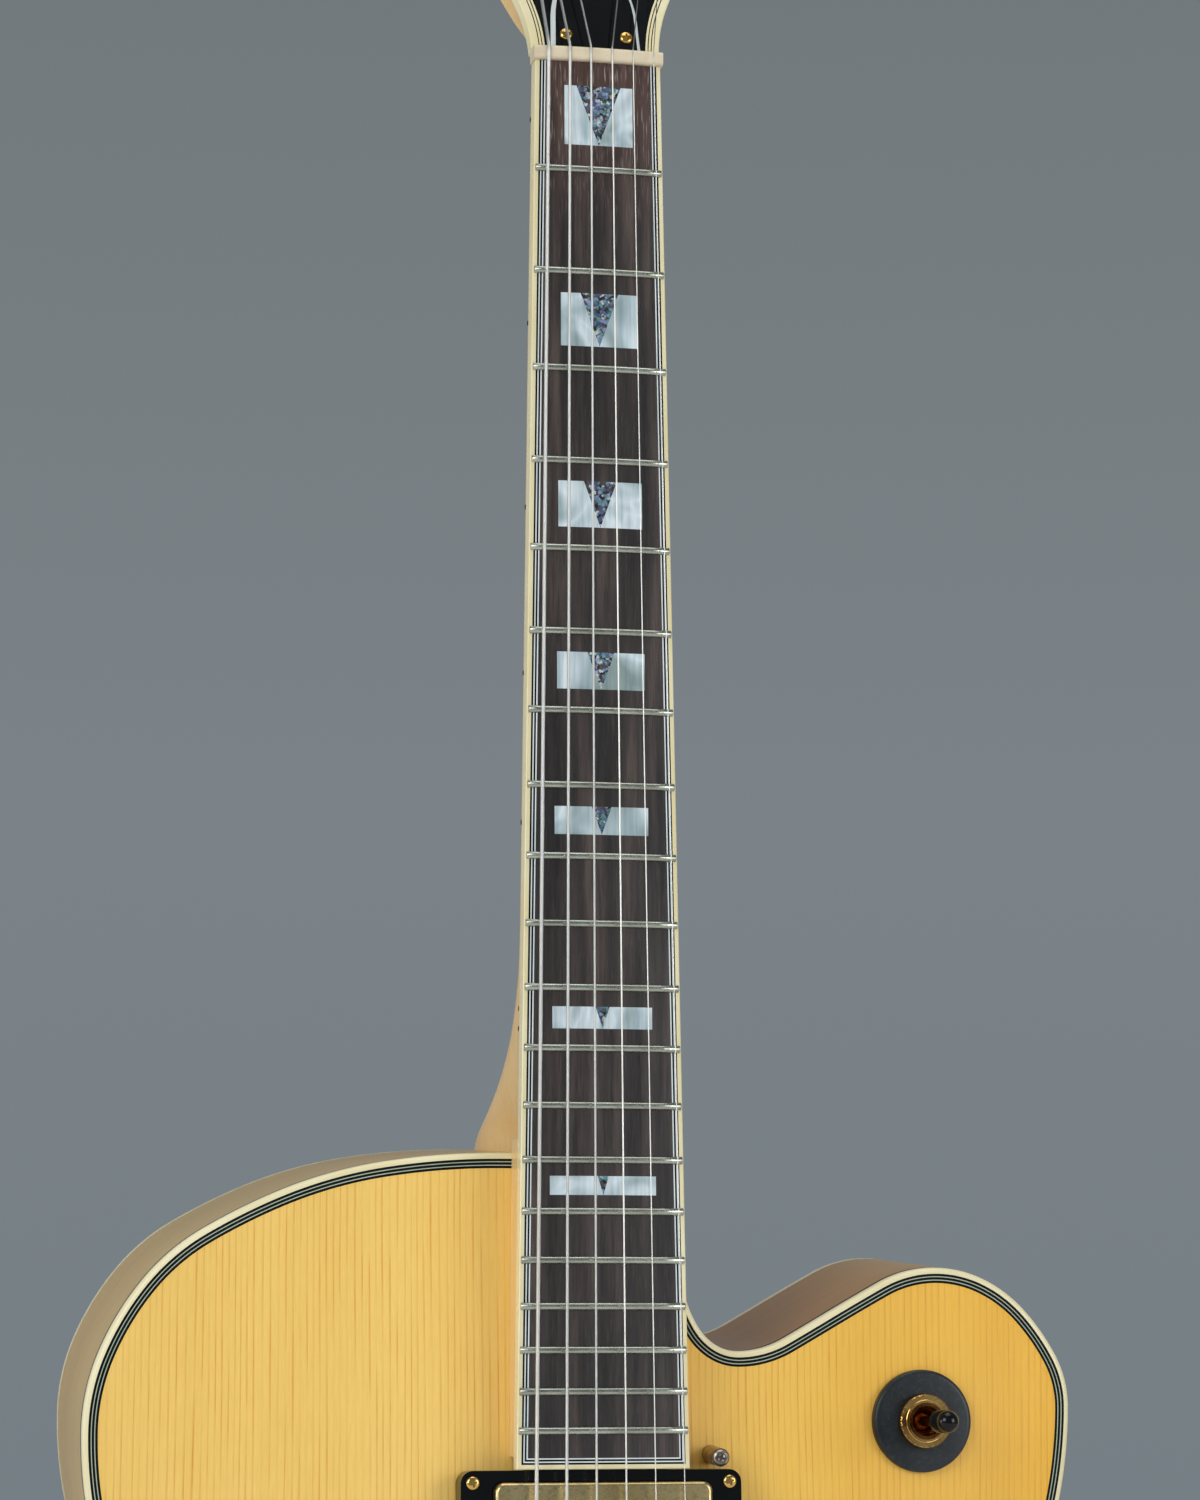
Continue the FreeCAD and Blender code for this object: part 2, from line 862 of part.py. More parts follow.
# Tuners: housing and bushing fixed to the head, post with its wheel, key with its worm
tuners = []
worm_drop = post_wheel_radius + worm_gap + worm_radius
worm_depth = head_thickness + post_wheel_lift + post_wheel_height / 2
wheel_front = head_thickness + post_wheel_lift
wheel_back = wheel_front + post_wheel_height
post_profile = [
    (0, -post_rise),
    (post_radius, -post_rise),
    (post_radius, post_cap - post_rise),
    (post_waist_radius, post_cap + post_cap / 2 - post_rise),
    (post_waist_radius, post_cap + post_waist - post_rise),
    (post_radius, post_cap + post_waist + post_cap / 2 - post_rise),
    (post_radius, wheel_front),
    (post_wheel_radius, wheel_front),
    (post_wheel_radius, wheel_back),
    (post_waist_radius, wheel_back),
    (post_waist_radius, wheel_back + post_tail),
    (0, wheel_back + post_tail),
]
wound_depth = post_cap + post_waist / 2 - post_rise
string_eye = Part.makeCylinder(
    string_eye_radius, 2 * post_radius, Vector(-post_radius, wound_depth, 0), Vector(1, 0, 0)
)
tuner_post = turned(post_profile).cut(string_eye)
bushing_inner = post_radius + post_fit_gap
bushing_profile = [
    (bushing_inner, -bushing_flange_height),
    (bushing_flange_radius, -bushing_flange_height),
    (bushing_flange_radius, 0),
    (post_hole_radius, 0),
    (post_hole_radius, head_thickness),
    (bushing_inner, head_thickness),
]
pocket_radius = post_wheel_radius + wheel_pocket_gap
housing_back = head_thickness + housing_height
shaft_start = head_half + key_overhang


def tuner_housing(side):
    shell = block(
        -housing_width / 2,
        housing_width / 2,
        head_thickness,
        housing_back,
        -housing_below,
        housing_above,
    )
    outer_edges = [e for e in shell.Edges if e.CenterOfMass.y > head_thickness]
    shell = shell.makeFillet(housing_rounding, outer_edges)
    pocket = Part.makeCylinder(
        pocket_radius,
        wheel_back + wheel_pocket_gap - head_thickness,
        Vector(0, head_thickness, 0),
        Vector(0, 1, 0),
    )
    tail_bore = Part.makeCylinder(
        post_waist_radius + post_fit_gap, housing_height, Vector(0, head_thickness, 0), Vector(0, 1, 0)
    )
    worm_bore = Part.makeCylinder(
        worm_radius + post_fit_gap,
        housing_width,
        Vector(-side * housing_width / 4, worm_depth, -worm_drop),
        Vector(side, 0, 0),
    )
    return shell.cut(Part.makeCompound([pocket, tail_bore, worm_bore]))


def tuner_key(side):
    worm_start = -housing_width / 4 + wheel_pocket_gap
    collar_start = housing_width / 2 + wheel_pocket_gap
    key_start = shaft_start - post_spread / 2
    worm = Part.makeCylinder(worm_radius, housing_width / 2 - worm_start)
    worm.translate(Vector(0, 0, worm_start))
    stem = Part.makeCylinder(key_shaft_radius, key_start - worm_start + overrun)
    stem.translate(Vector(0, 0, worm_start))
    collar = Part.makeCylinder(key_collar_radius, key_collar_length)
    collar.translate(Vector(0, 0, collar_start))
    oval = Part.Ellipse(Vector(0, 0, 0), key_width / 2, key_length / 2).toShape()
    button = Part.Face(Part.Wire([oval])).extrude(Vector(0, 0, key_thickness))
    button = button.makeFillet(key_rounding, [e for e in button.Edges if e.Length > key_thickness + tiny])
    button.translate(Vector(0, 0, -key_thickness / 2))
    button.rotate(Vector(0, 0, 0), Vector(1, 0, 0), 90)
    button.translate(Vector(0, 0, key_start + key_length / 2))
    whole = worm.fuse([stem, collar, button])
    whole.rotate(Vector(0, 0, 0), Vector(0, 1, 0), side * 90)
    return whole


housings = []
head_holes = []
for number in range(1, 7):
    side = -1 if number <= 3 else 1
    row = (number - 1) % 3
    along = post_first + post_step * (row if side < 0 else 2 - row)
    across = side * post_spread / 2
    post = on_head(moved(tuner_post, across, 0, along))
    key = on_head(moved(tuner_key(side), across, worm_depth, along - worm_drop))
    nodes["tuner_post_%d" % number] = post
    nodes["tuner_key_%d" % number] = key
    bushing = turned(bushing_profile)
    housings.append(on_head(moved(bushing, across, 0, along)))
    housings.append(on_head(moved(tuner_housing(side), across, 0, along)))
    hole = Part.makeCylinder(post_hole_radius, head_thickness, Vector(across, 0, along), Vector(0, 1, 0))
    head_holes.append(on_head(hole))
nodes["tuner_housings"] = Part.makeCompound(housings)

head_cuts = Part.makeCompound(head_holes + cover_screws)
neck = shaft.fuse([on_head(head_core), extension])
seat = on_neck(block(-nut_width, nut_width, -overrun, board_thickness, 0, nut_thickness))
rod_ways = on_neck(Part.makeCompound([truss_rod, truss_pocket]))
neck = neck.cut(Part.makeCompound([on_head(overlay), on_head(head_ring)]))
nodes["neck"] = neck.cut(Part.makeCompound([seat, rod_ways])).cut(head_cuts)
nodes["headstock_overlay"] = on_head(overlay).cut(seat).cut(head_cuts).cut(on_neck(truss_pocket))
nodes["headstock_binding"] = on_head(head_ring).cut(seat)
nodes["truss_rod_cover"] = on_head(cover).cut(Part.makeCompound(cover_screws))

# Strings over the nut and the saddle, in line with the tailpiece hinge
hinge_y = rim_front - hinge_rise
hinge_z = tail_z - bracket_thickness / 2
saddle_distance = scale_length + saddle_setback
saddle_crest = neck_point(0, -bridge_string_height, saddle_distance)
tail_line = (saddle_crest - Vector(0, hinge_y, hinge_z)).normalize()
tail_tilt_deg = math.degrees(math.atan2(-tail_line.y, tail_line.z))
crossbar_centre = Vector(0, hinge_y, hinge_z) + tail_line * crossbar_reach


def filleted_path(points, bend):
    edges = []
    start = points[0]
    for before, corner, after in zip(points, points[1:], points[2:]):
        arriving = (corner - before).normalize()
        leaving = (after - corner).normalize()
        half_turn = arriving.getAngle(leaving) / 2
        reach = bend * math.tan(half_turn)
        inward = (leaving - arriving).normalize()
        bow = corner + inward * (bend / math.cos(half_turn) - bend)
        end = corner - arriving * reach
        next_start = corner + leaving * reach
        edges.append(Part.LineSegment(start, end).toShape())
        edges.append(Part.Arc(end, bow, next_start).toShape())
        start = next_start
    edges.append(Part.LineSegment(start, points[-1]).toShape())
    return Part.Wire(edges)


def tube(points, radius, bend):
    path = filleted_path(points, bend)
    start_direction = (points[1] - points[0]).normalize()
    ring = Part.Wire([Part.Circle(points[0], start_direction, radius).toShape()])
    return path.makePipeShell([ring], True, False)


strings = []
string_slots = []
for index, radius in enumerate(string_radii):
    share = index / (len(string_radii) - 1) - 1 / 2
    nut_x = nut_string_shift + nut_string_spread * share
    saddle_x = bridge_string_shift + bridge_string_spread * share
    side = -1 if index < 3 else 1
    row = index % 3
    along = post_first + post_step * (row if side < 0 else 2 - row)
    post_edge = side * (post_spread / 2 - post_waist_radius - radius - post_fit_gap)
    post_end = head_point(post_edge, wound_depth, along)
    nut_bend = neck_point(nut_x, camber(nut_x) - nut_string_height - radius, -nut_thickness)
    saddle_bend = neck_point(
        saddle_x, camber(saddle_x) - bridge_string_height - radius, saddle_distance
    )
    tail_end = Vector(saddle_x, crossbar_centre.y, crossbar_centre.z)
    tail_end = tail_end - tail_line * (crossbar_width / 2)
    route = [tail_end, saddle_bend, nut_bend, post_end]
    strings.append(tube(route, radius, string_bend))
    string_slots.append(tube(route, radius + string_slot_gap, string_bend))
    ball = Part.makeCylinder(ball_radius, ball_length, tail_end, -tail_line)
    strings.append(ball)
slot_cuts = Part.makeCompound(string_slots)
nodes["strings"] = Part.makeCompound(strings)

nut_block = block(-nut_width / 2, nut_width / 2, -nut_rise, board_thickness, 0, nut_thickness)
nut_crown = Part.makeCylinder(board_radius + nut_rise, nut_thickness, Vector(0, board_radius, 0))
nut_block = nut_block.common(nut_crown)
nut_edges = [e for e in nut_block.Edges if e.BoundBox.YMax < 0 and e.BoundBox.XLength > tiny]
nodes["nut"] = on_neck(nut_block.makeFillet(nut_rounding, nut_edges)).cut(slot_cuts)

# Bridge: foot on the arch, studs, thumbwheels and saddle
bridge_z = saddle_crest.z
crest_y = top_place(0, bridge_z)[0].y
saddle_front = saddle_crest.y + string_seat_gap
saddle_back = saddle_front + saddle_height
wheel_front_y = saddle_back + wheel_seat_gap
base_front = wheel_front_y + wheel_thickness + wheel_base_gap
saddle_slope = saddle_front + saddle_crest_drop
saddle_profile = [
    Vector(0, saddle_back + overrun, bridge_z - saddle_width / 2),
    Vector(0, saddle_slope, bridge_z - saddle_width / 2),
    Vector(0, saddle_front, bridge_z - saddle_crest_width / 2),
    Vector(0, saddle_front, bridge_z + saddle_crest_width / 2),
    Vector(0, saddle_slope, bridge_z + saddle_width / 2),
    Vector(0, saddle_back + overrun, bridge_z + saddle_width / 2),
]
saddle_axis = Vector(0, saddle_front + board_radius, bridge_z)
saddle_sweep = math.degrees(saddle_length / board_radius)
saddle_ridge = Part.Face(Part.makePolygon(saddle_profile + saddle_profile[:1]))
saddle_ridge.rotate(saddle_axis, Vector(0, 0, 1), -saddle_sweep)
saddle_ridge = saddle_ridge.revolve(saddle_axis, Vector(0, 0, 1), 2 * saddle_sweep)
saddle_blank = block(
    -saddle_length / 2,
    saddle_length / 2,
    saddle_front - overrun,
    saddle_back,
    bridge_z - saddle_width,
    bridge_z + saddle_width,
)
stud_bore_depth = stud_in_saddle + saddle_lower_travel + stud_slide_gap
studs = []
stud_bores = []
wheels = []
for side in (-1, 1):
    x = side * stud_spread / 2
    stud_foot = Vector(x, base_front + stud_in_base, bridge_z)
    stud_length = stud_in_base + base_front - saddle_back + stud_in_saddle
    studs.append(Part.makeCylinder(stud_radius, stud_length, stud_foot, Vector(0, -1, 0)))
    stud_bores.append(
        Part.makeCylinder(
            stud_radius + stud_slide_gap,
            stud_bore_depth,
            Vector(x, saddle_back, bridge_z),
            Vector(0, -1, 0),
        )
    )
    rim = []
    for step in range(2 * wheel_notches):
        turn = math.pi * step / wheel_notches
        reach = wheel_radius - wheel_notch_depth * (step % 2)
        rim.append((x + reach * math.cos(turn), bridge_z + reach * math.sin(turn)))
    wheel = plate(rim, wheel_front_y, wheel_front_y + wheel_thickness)
    bore = Part.makeCylinder(
        stud_radius + thread_gap, wheel_thickness, Vector(x, wheel_front_y, bridge_z), Vector(0, 1, 0)
    )
    wheels.append(wheel.cut(bore))
nodes["bridge_thumbwheel_bass"] = wheels[0]
nodes["bridge_thumbwheel_treble"] = wheels[1]
nodes["bridge_studs"] = Part.makeCompound(studs)
nodes["bridge_saddle"] = saddle_blank.common(saddle_ridge).cut(Part.makeCompound(stud_bores))

flat_half = base_length / 2 * base_flat_share
base_profile = [
    Vector(-base_length / 2, base_front + base_end_drop, bridge_z - base_width / 2),
    Vector(-flat_half, base_front, bridge_z - base_width / 2),
    Vector(flat_half, base_front, bridge_z - base_width / 2),
    Vector(base_length / 2, base_front + base_end_drop, bridge_z - base_width / 2),
    Vector(base_length / 2, rim_front, bridge_z - base_width / 2),
    Vector(-base_length / 2, rim_front, bridge_z - base_width / 2),
]
base = Part.Face(Part.makePolygon(base_profile + base_profile[:1])).extrude(Vector(0, 0, base_width))
relief_half = base_length / 2 * base_relief_share
relief = block(
    -relief_half,
    relief_half,
    crest_y - base_relief_height,
    rim_front,
    bridge_z - base_width,
    bridge_z + base_width,
)
base = base.common(before_top).cut(relief)
nodes["bridge_base"] = base.cut(nodes["bridge_studs"])

# Tailpiece: bracket on the tail with its pin, and the hinged trapeze
knuckle_half = bracket_width / 2 * tail_knuckle_share
hinge_pin = Part.makeCylinder(
    hinge_pin_radius, bracket_width, Vector(-bracket_width / 2, hinge_y, hinge_z), Vector(1, 0, 0)
)
bracket = block(
    -bracket_width / 2,
    bracket_width / 2,
    hinge_y,
    rim_front + bracket_reach,
    tail_z - bracket_thickness,
    tail_z + bracket_thickness,
)
bracket = bracket.cut(outline_prism(0, rim_front, rim_back))
in_front = block(
    -bracket_width, bracket_width, hinge_y - overrun, rim_front, tail_z, tail_z + 2 * bracket_thickness
)
bracket = bracket.cut(in_front)
knuckles = Part.makeCylinder(
    hinge_radius, bracket_width, Vector(-bracket_width / 2, hinge_y, hinge_z), Vector(1, 0, 0)
)
gap_half = knuckle_half + hinge_side_gap
knuckle_gap = block(
    -gap_half,
    gap_half,
    hinge_y - 2 * hinge_radius,
    hinge_y + hinge_radius + hinge_side_gap,
    tail_z - 2 * hinge_radius,
    tail_z + 2 * hinge_radius,
)
bracket = bracket.fuse(knuckles).cut(knuckle_gap).cut(hinge_pin)

tail_knuckle = Part.makeCylinder(
    hinge_radius, 2 * knuckle_half, Vector(-knuckle_half, 0, 0), Vector(1, 0, 0)
)
crossbar = block(
    -crossbar_length / 2,
    crossbar_length / 2,
    -crossbar_depth / 2,
    crossbar_depth / 2,
    crossbar_reach - crossbar_width / 2,
    crossbar_reach + crossbar_width / 2,
)
crossbar = crossbar.makeFillet(crossbar_rounding, crossbar.Edges)
rods = []
for side in (-1, 1):
    foot = Vector(side * tail_rod_foot / 2, 0, 0)
    head = Vector(side * tail_rod_spread / 2, 0, crossbar_reach)
    rods.append(Part.makeCylinder(tail_rod_radius, (head - foot).Length, foot, head - foot))
trapeze = crossbar.fuse([tail_knuckle] + rods)
trapeze.rotate(Vector(0, 0, 0), Vector(1, 0, 0), tail_tilt_deg)
trapeze.translate(Vector(0, hinge_y, hinge_z))
pin_bore = Part.makeCylinder(
    hinge_pin_radius + hinge_pin_gap,
    bracket_width,
    Vector(-bracket_width / 2, hinge_y, hinge_z),
    Vector(1, 0, 0),
)
string_holes = []
for index, radius in enumerate(string_radii):
    share = index / (len(string_radii) - 1) - 1 / 2
    x = bridge_string_shift + bridge_string_spread * share
    foot = Vector(x, crossbar_centre.y, crossbar_centre.z) - tail_line * crossbar_width
    string_holes.append(
        Part.makeCylinder(string_radii[0] + string_hole_gap, 2 * crossbar_width, foot, tail_line)
    )
nodes["tailpiece"] = trapeze.cut(Part.makeCompound([pin_bore] + string_holes))

# Pickups, in the tilt of the fingerboard
pole_pitch = pole_spread / (len(string_radii) - 1)
rings = []
covers = []
cores = []
poles = []
ring_screws = []
routs = []
ring_half_width = ring_width / 2
ring_start = board_length + ring_board_gap
neck_pickup_distance = ring_start + ring_half_width
bridge_room = max(wheel_radius, base_width / 2)
pickup_run = saddle_distance - bridge_room - ring_half_width - neck_pickup_distance - ring_width
bridge_pickup_distance = neck_pickup_distance + ring_width + pickup_run * bridge_pickup_share
for distance, pole_side in ((neck_pickup_distance, 1), (bridge_pickup_distance, -1)):
    middle = -distance
    outer = rounded_block(ring_length, ring_width, ring_face_depth, body_room, ring_corner, middle)
    inner = rounded_block(
        ring_length - 2 * ring_wall,
        ring_width - 2 * ring_wall,
        ring_face_depth + ring_wall,
        body_room,
        ring_corner - ring_wall,
        middle,
    )
    window = rounded_block(
        pickup_length + 2 * cover_fit_gap,
        pickup_width + 2 * cover_fit_gap,
        0,
        body_room,
        pickup_corner,
        middle,
    )
    shell = rounded_block(
        pickup_length, pickup_width, -pickup_rise, pickup_height - pickup_rise, pickup_corner, middle
    )
    rim_edges = [e for e in shell.Edges if abs(e.CenterOfMass.y + pickup_rise) < tiny]
    shell = shell.makeFillet(pickup_rounding, rim_edges)
    hollow = rounded_block(
        pickup_length - 2 * pickup_wall,
        pickup_width - 2 * pickup_wall,
        pickup_wall - pickup_rise,
        pickup_height,
        pickup_corner - pickup_wall,
        middle,
    )
    pole_z = middle + pole_side * pole_offset
    row = [
        Part.makeCylinder(
            pole_radius,
            pole_length,
            Vector(pole_pitch * (i - (len(string_radii) - 1) / 2), -pickup_rise - pole_rise, pole_z),
            Vector(0, 1, 0),
        )
        for i in range(len(string_radii))
    ]
    row_group = Part.makeCompound(row)
    coil_front = pickup_wall + coil_drop - pickup_rise
    coil_parts = [
        rounded_block(
            pickup_length - 2 * pickup_wall - 2 * cover_fit_gap,
            coil_width,
            coil_front,
            coil_front + coil_height,
            pickup_corner - pickup_wall,
            middle + side * pole_offset,
        )
        for side in (-1, 1)
    ]
    magnet = block(
        -pole_spread / 2,
        pole_spread / 2,
        coil_front + coil_height / 2,
        coil_front + coil_height,
        middle - magnet_width / 2 + cover_fit_gap,
        middle + magnet_width / 2 - cover_fit_gap,
    )
    plate_front = pickup_height - pickup_rise
    ear_half = pickup_length / 2 + pickup_ear
    carrier = rounded_block(
        pickup_length, pickup_width, plate_front, plate_front + base_plate_thickness, pickup_corner, middle
    )
    ears = block(
        -ear_half,
        ear_half,
        plate_front,
        plate_front + base_plate_thickness,
        middle - pickup_ear_width / 2,
        middle + pickup_ear_width / 2,
    )
    carrier = carrier.fuse(ears)
    corner_screws = [
        moved(
            screw(2 * screw_length),
            sx * (ring_length / 2 - ring_screw_inset),
            ring_face_depth,
            middle + sz * (ring_half_width - ring_screw_inset),
        )
        for sx in (-1, 1)
        for sz in (-1, 1)
    ]
    height_screws = [
        moved(screw(2 * screw_length), s * (ring_length / 2 - height_screw_inset), ring_face_depth, middle)
        for s in (-1, 1)
    ]
    fasteners = Part.makeCompound(corner_screws + height_screws)
    ring = on_neck(outer.cut(Part.makeCompound([inner, window])).cut(fasteners)).common(before_top)
    rings.append(ring)
    covers.append(on_neck(shell.cut(Part.makeCompound([hollow, row_group]))))
    poles += [on_neck(p) for p in row]
    cores += [on_neck(c.cut(row_group)) for c in coil_parts]
    cores += [on_neck(magnet), on_neck(carrier.cut(fasteners))]
    ring_screws += [on_neck(s) for s in corner_screws + height_screws]
    for length, width in (
        (pickup_length + 2 * rout_gap, pickup_width + 2 * rout_gap),
        (2 * ear_half + 2 * rout_gap, pickup_ear_width + 2 * rout_gap),
    ):
        rout = rounded_block(length, width, -overrun, body_room, pickup_corner, middle)
        routs.append(on_neck(rout))
nodes["pickup_rings"] = Part.makeCompound(rings)
nodes["pickup_covers"] = Part.makeCompound(covers)
nodes["pickup_cores"] = Part.makeCompound(cores)
nodes["pickup_pole_screws"] = Part.makeCompound(poles)

# Controls: knobs with their shafts, potentiometers and the selector switch
control_holes = []
pots = []
pot_profile = [
    (control_shaft_radius + shaft_fit_gap, -pot_nut_height - pot_nut_height / 2),
    (control_bushing_radius, -pot_nut_height - pot_nut_height / 2),
    (control_bushing_radius, plate_thickness + pot_drop),
    (pot_radius, plate_thickness + pot_drop),
    (pot_radius, plate_thickness + pot_drop + pot_height),
    (control_shaft_radius + shaft_fit_gap, plate_thickness + pot_drop + pot_height),
]
pot_nut = [
    (control_bushing_radius, -pot_nut_height),
    (pot_nut_radius, -pot_nut_height),
    (pot_nut_radius, plate_thickness),
    (control_bushing_radius, plate_thickness),
]
knob_top = -knob_lift - knob_height
knob_cavity = -knob_lift - knob_height * knob_hollow_share
shaft_tip = knob_top + (knob_height * (1 - knob_hollow_share)) / 2
knob_profile = [
    (0, knob_top),
    (knob_radius * knob_top_share, knob_top),
    (knob_radius * knob_top_share, -knob_lift - knob_height / 3),
    (knob_radius, -knob_lift),
    (knob_radius * knob_top_share * knob_top_share, -knob_lift),
    (knob_radius * knob_top_share * knob_top_share, knob_cavity),
    (control_shaft_radius, knob_cavity),
    (control_shaft_radius, shaft_tip),
    (0, shaft_tip),
]
shaft_profile = [
    (0, shaft_tip),
    (control_shaft_radius, shaft_tip),
    (control_shaft_radius, plate_thickness + pot_drop + pot_height / 2),
    (0, plate_thickness + pot_drop + pot_height / 2),
]
knob_places = [
    (lower_bout / 2 * across, body_top - body_length * down) for across, down in knob_shares
]
for name, (x, z) in zip(knob_names, knob_places):
    knob = Part.makeCompound([turned(knob_profile), turned(shaft_profile)])
    nodes["knob_" + name] = on_top(knob, x, z)
    pots.append(on_top(turned(pot_profile), x, z))
    pots.append(on_top(turned(pot_nut), x, z).common(before_top))
    hole = Part.makeCylinder(
        control_bushing_radius, 2 * body_room, Vector(0, -body_room, 0), Vector(0, 1, 0)
    )
    control_holes.append(on_top(hole, x, z))
nodes["potentiometers"] = Part.makeCompound(pots)

switch_x = switch_across
switch_z = body_top - switch_down
cone_spread = math.tan(math.radians(switch_cone_deg))
ball_room = lever_ball_radius + lever_ball_gap
mouth_radius = lever_radius + (switch_bushing_rise + lever_ball_radius) * cone_spread
frame_front = plate_thickness + pot_drop
bushing = Part.makeCylinder(
    switch_bushing_radius,
    switch_bushing_rise + frame_front + tiny,
    Vector(0, -switch_bushing_rise, 0),
    Vector(0, 1, 0),
)
frame = block(
    -switch_frame_width / 2,
    switch_frame_width / 2,
    frame_front,
    frame_front + switch_frame_height,
    -switch_frame_length / 2,
    switch_frame_length / 2,
)
throat = Part.makeCone(
    lever_radius,
    mouth_radius,
    switch_bushing_rise + lever_ball_radius,
    Vector(0, lever_ball_radius, 0),
    Vector(0, -1, 0),
)
ball_seat = Part.makeSphere(ball_room, Vector(0, 0, 0))
lever_pin = Part.makeCylinder(
    lever_pin_radius, lever_pin_length, Vector(-lever_pin_length / 2, 0, 0), Vector(1, 0, 0)
)
pin_hole = Part.makeCylinder(
    lever_pin_radius + lever_ball_gap / 2,
    2 * switch_bushing_radius,
    Vector(-switch_bushing_radius, 0, 0),
    Vector(1, 0, 0),
)
tail_throat = Part.makeCone(
    lever_radius,
    lever_radius + (frame_front + switch_frame_height) * cone_spread,
    frame_front + switch_frame_height,
    Vector(0, 0, 0),
    Vector(0, 1, 0),
)
switch_core = bushing.fuse(frame).cut(Part.makeCompound([throat, ball_seat, tail_throat])).cut(pin_hole)
knurl = []
for step in range(2 * wheel_notches):
    turn = math.pi * step / wheel_notches
    reach = switch_nut_radius - wheel_notch_depth / 2 * (step % 2)
    knurl.append((reach * math.cos(turn), reach * math.sin(turn)))
switch_nut = plate(knurl, -washer_height - switch_nut_height, -washer_height)
switch_nut = switch_nut.cut(bushing)
washer = Part.makeCylinder(
    washer_radius, washer_height + overrun, Vector(0, -washer_height, 0), Vector(0, 1, 0)
)
washer = washer.cut(bushing)
lever = Part.makeSphere(lever_ball_radius, Vector(0, 0, 0))
lever_tail = switch_frame_height / 2
stem = Part.makeCylinder(
    lever_radius, lever_length + lever_tail, Vector(0, lever_tail, 0), Vector(0, -1, 0)
)
lever = lever.fuse([stem, lever_pin])
tip = Part.makeCylinder(
    lever_tip_radius, lever_tip_length, Vector(0, -lever_length, 0), Vector(0, -1, 0)
)
tip_edges = [e for e in tip.Edges if abs(e.CenterOfMass.y + lever_length + lever_tip_length) < tiny]
tip = tip.makeFillet(lever_tip_radius - lever_ball_gap, tip_edges)
nodes["switch_body"] = on_top(Part.makeCompound([switch_core, switch_nut]), switch_x, switch_z)
nodes["switch_washer"] = on_top(washer, switch_x, switch_z).common(before_top)
nodes["switch_lever"] = on_top(Part.makeCompound([lever, tip]), switch_x, switch_z)
switch_hole = Part.makeCylinder(
    switch_bushing_radius, 2 * body_room, Vector(0, -body_room, 0), Vector(0, 1, 0)
)
control_holes.append(on_top(switch_hole, switch_x, switch_z))

# Pickguard standoff with its screw, left bare
standoff_across = board_half(board_length) + standoff_board_gap + standoff_radius
standoff_z = -(ring_start - standoff_ring_gap - standoff_radius) * math.cos(pitch)
standoff_foot = top_place(standoff_across, standoff_z)[0].y
post = Part.makeCylinder(
    standoff_radius,
    standoff_height + overrun,
    Vector(standoff_across, standoff_foot + overrun, standoff_z),
    Vector(0, -1, 0),
).common(before_top)
standoff_screw = screw(standoff_height + plate_thickness)
standoff_screw = moved(standoff_screw, standoff_across, standoff_foot - standoff_height, standoff_z)
nodes["pickguard_standoff"] = Part.makeCompound([post.cut(standoff_screw), standoff_screw])


# Sound holes
def f_hole_face(grow):
    stations = []
    for x, z, turn, half in f_hole_shares:
        centre = Vector(x * f_hole_length, 0, z * f_hole_length)
        stations.append((centre, turn, half * f_hole_length + grow))
    right = [(c - left_of(heading(t)) * half, t) for c, t, half in stations]
    left = [(c + left_of(heading(t)) * half, t) for c, t, half in stations]
    edges = inset_edges(chain(right), 0, 0)
    edges.append(Part.LineSegment(right[-1][0], left[-1][0]).toShape())
    edges += [e for e in reversed(inset_edges(chain(left), 0, 0))]
    edges.append(Part.LineSegment(left[0][0], right[0][0]).toShape())
    stroke = Part.Face(Part.Wire(Part.__sortEdges__(edges)))
    eyes = []
    for station, eye_share in ((stations[0], lower_eye_share), (stations[-1], upper_eye_share)):
        circle = Part.Circle(station[0], Vector(0, 1, 0), eye_share * f_hole_length + grow).toShape()
        eyes.append(Part.Face(Part.Wire([circle])))
    return stroke, eyes


def f_hole_solid(grow, front, back):
    stroke, eyes = f_hole_face(grow)
    solids = [moved(f, 0, front, 0).extrude(Vector(0, back - front, 0)) for f in [stroke] + eyes]
    whole = solids[0].fuse(solids[1:])
    whole.rotate(Vector(0, 0, 0), Vector(0, 1, 0), f_hole_lean_deg)
    whole.translate(Vector(-f_hole_across / 2, 0, body_top - body_length * f_hole_down_share))
    return Part.makeCompound([whole, whole.mirror(Vector(0, 0, 0), Vector(1, 0, 0))])


f_cut = f_hole_solid(f_hole_binding_width, rim_front - body_room, rim_front + body_room / 2)
f_open = f_hole_solid(0, rim_front - body_room, rim_front + body_room / 2)

# Body: carved plates, sides, edge plies, linings, blocks and bars
top_blank = top_face.extrude(Vector(0, plate_thickness, 0))
top_blank = top_blank.common(outline_prism(binding_width, rim_front - body_room, rim_front + body_room))
purfling_edge = binding_width + purfling_width
channel = outline_ring(binding_width, purfling_edge, rim_front - overrun, rim_front + purfling_depth)
nodes["top_purfling"] = outline_ring(binding_width, purfling_edge, rim_front, rim_front + purfling_depth)
screw_group = ring_screws + [standoff_screw]
top_cuts = Part.makeCompound(routs + control_holes + screw_group)
f_ring_blank = top_blank.common(f_cut)
nodes["f_hole_binding"] = f_ring_blank.cut(f_open)
nodes["top_plate"] = top_blank.cut(channel).cut(f_cut).cut(top_cuts)

back_blank = back_face.extrude(Vector(0, -plate_thickness, 0))
nodes["back_plate"] = back_blank.common(
    outline_prism(binding_width, rim_back - body_room, rim_back + body_room)
)

nodes["top_binding"] = outline_ring(0, binding_width, rim_front, sides_front)
nodes["back_binding"] = outline_ring(0, binding_width, sides_back, rim_back)

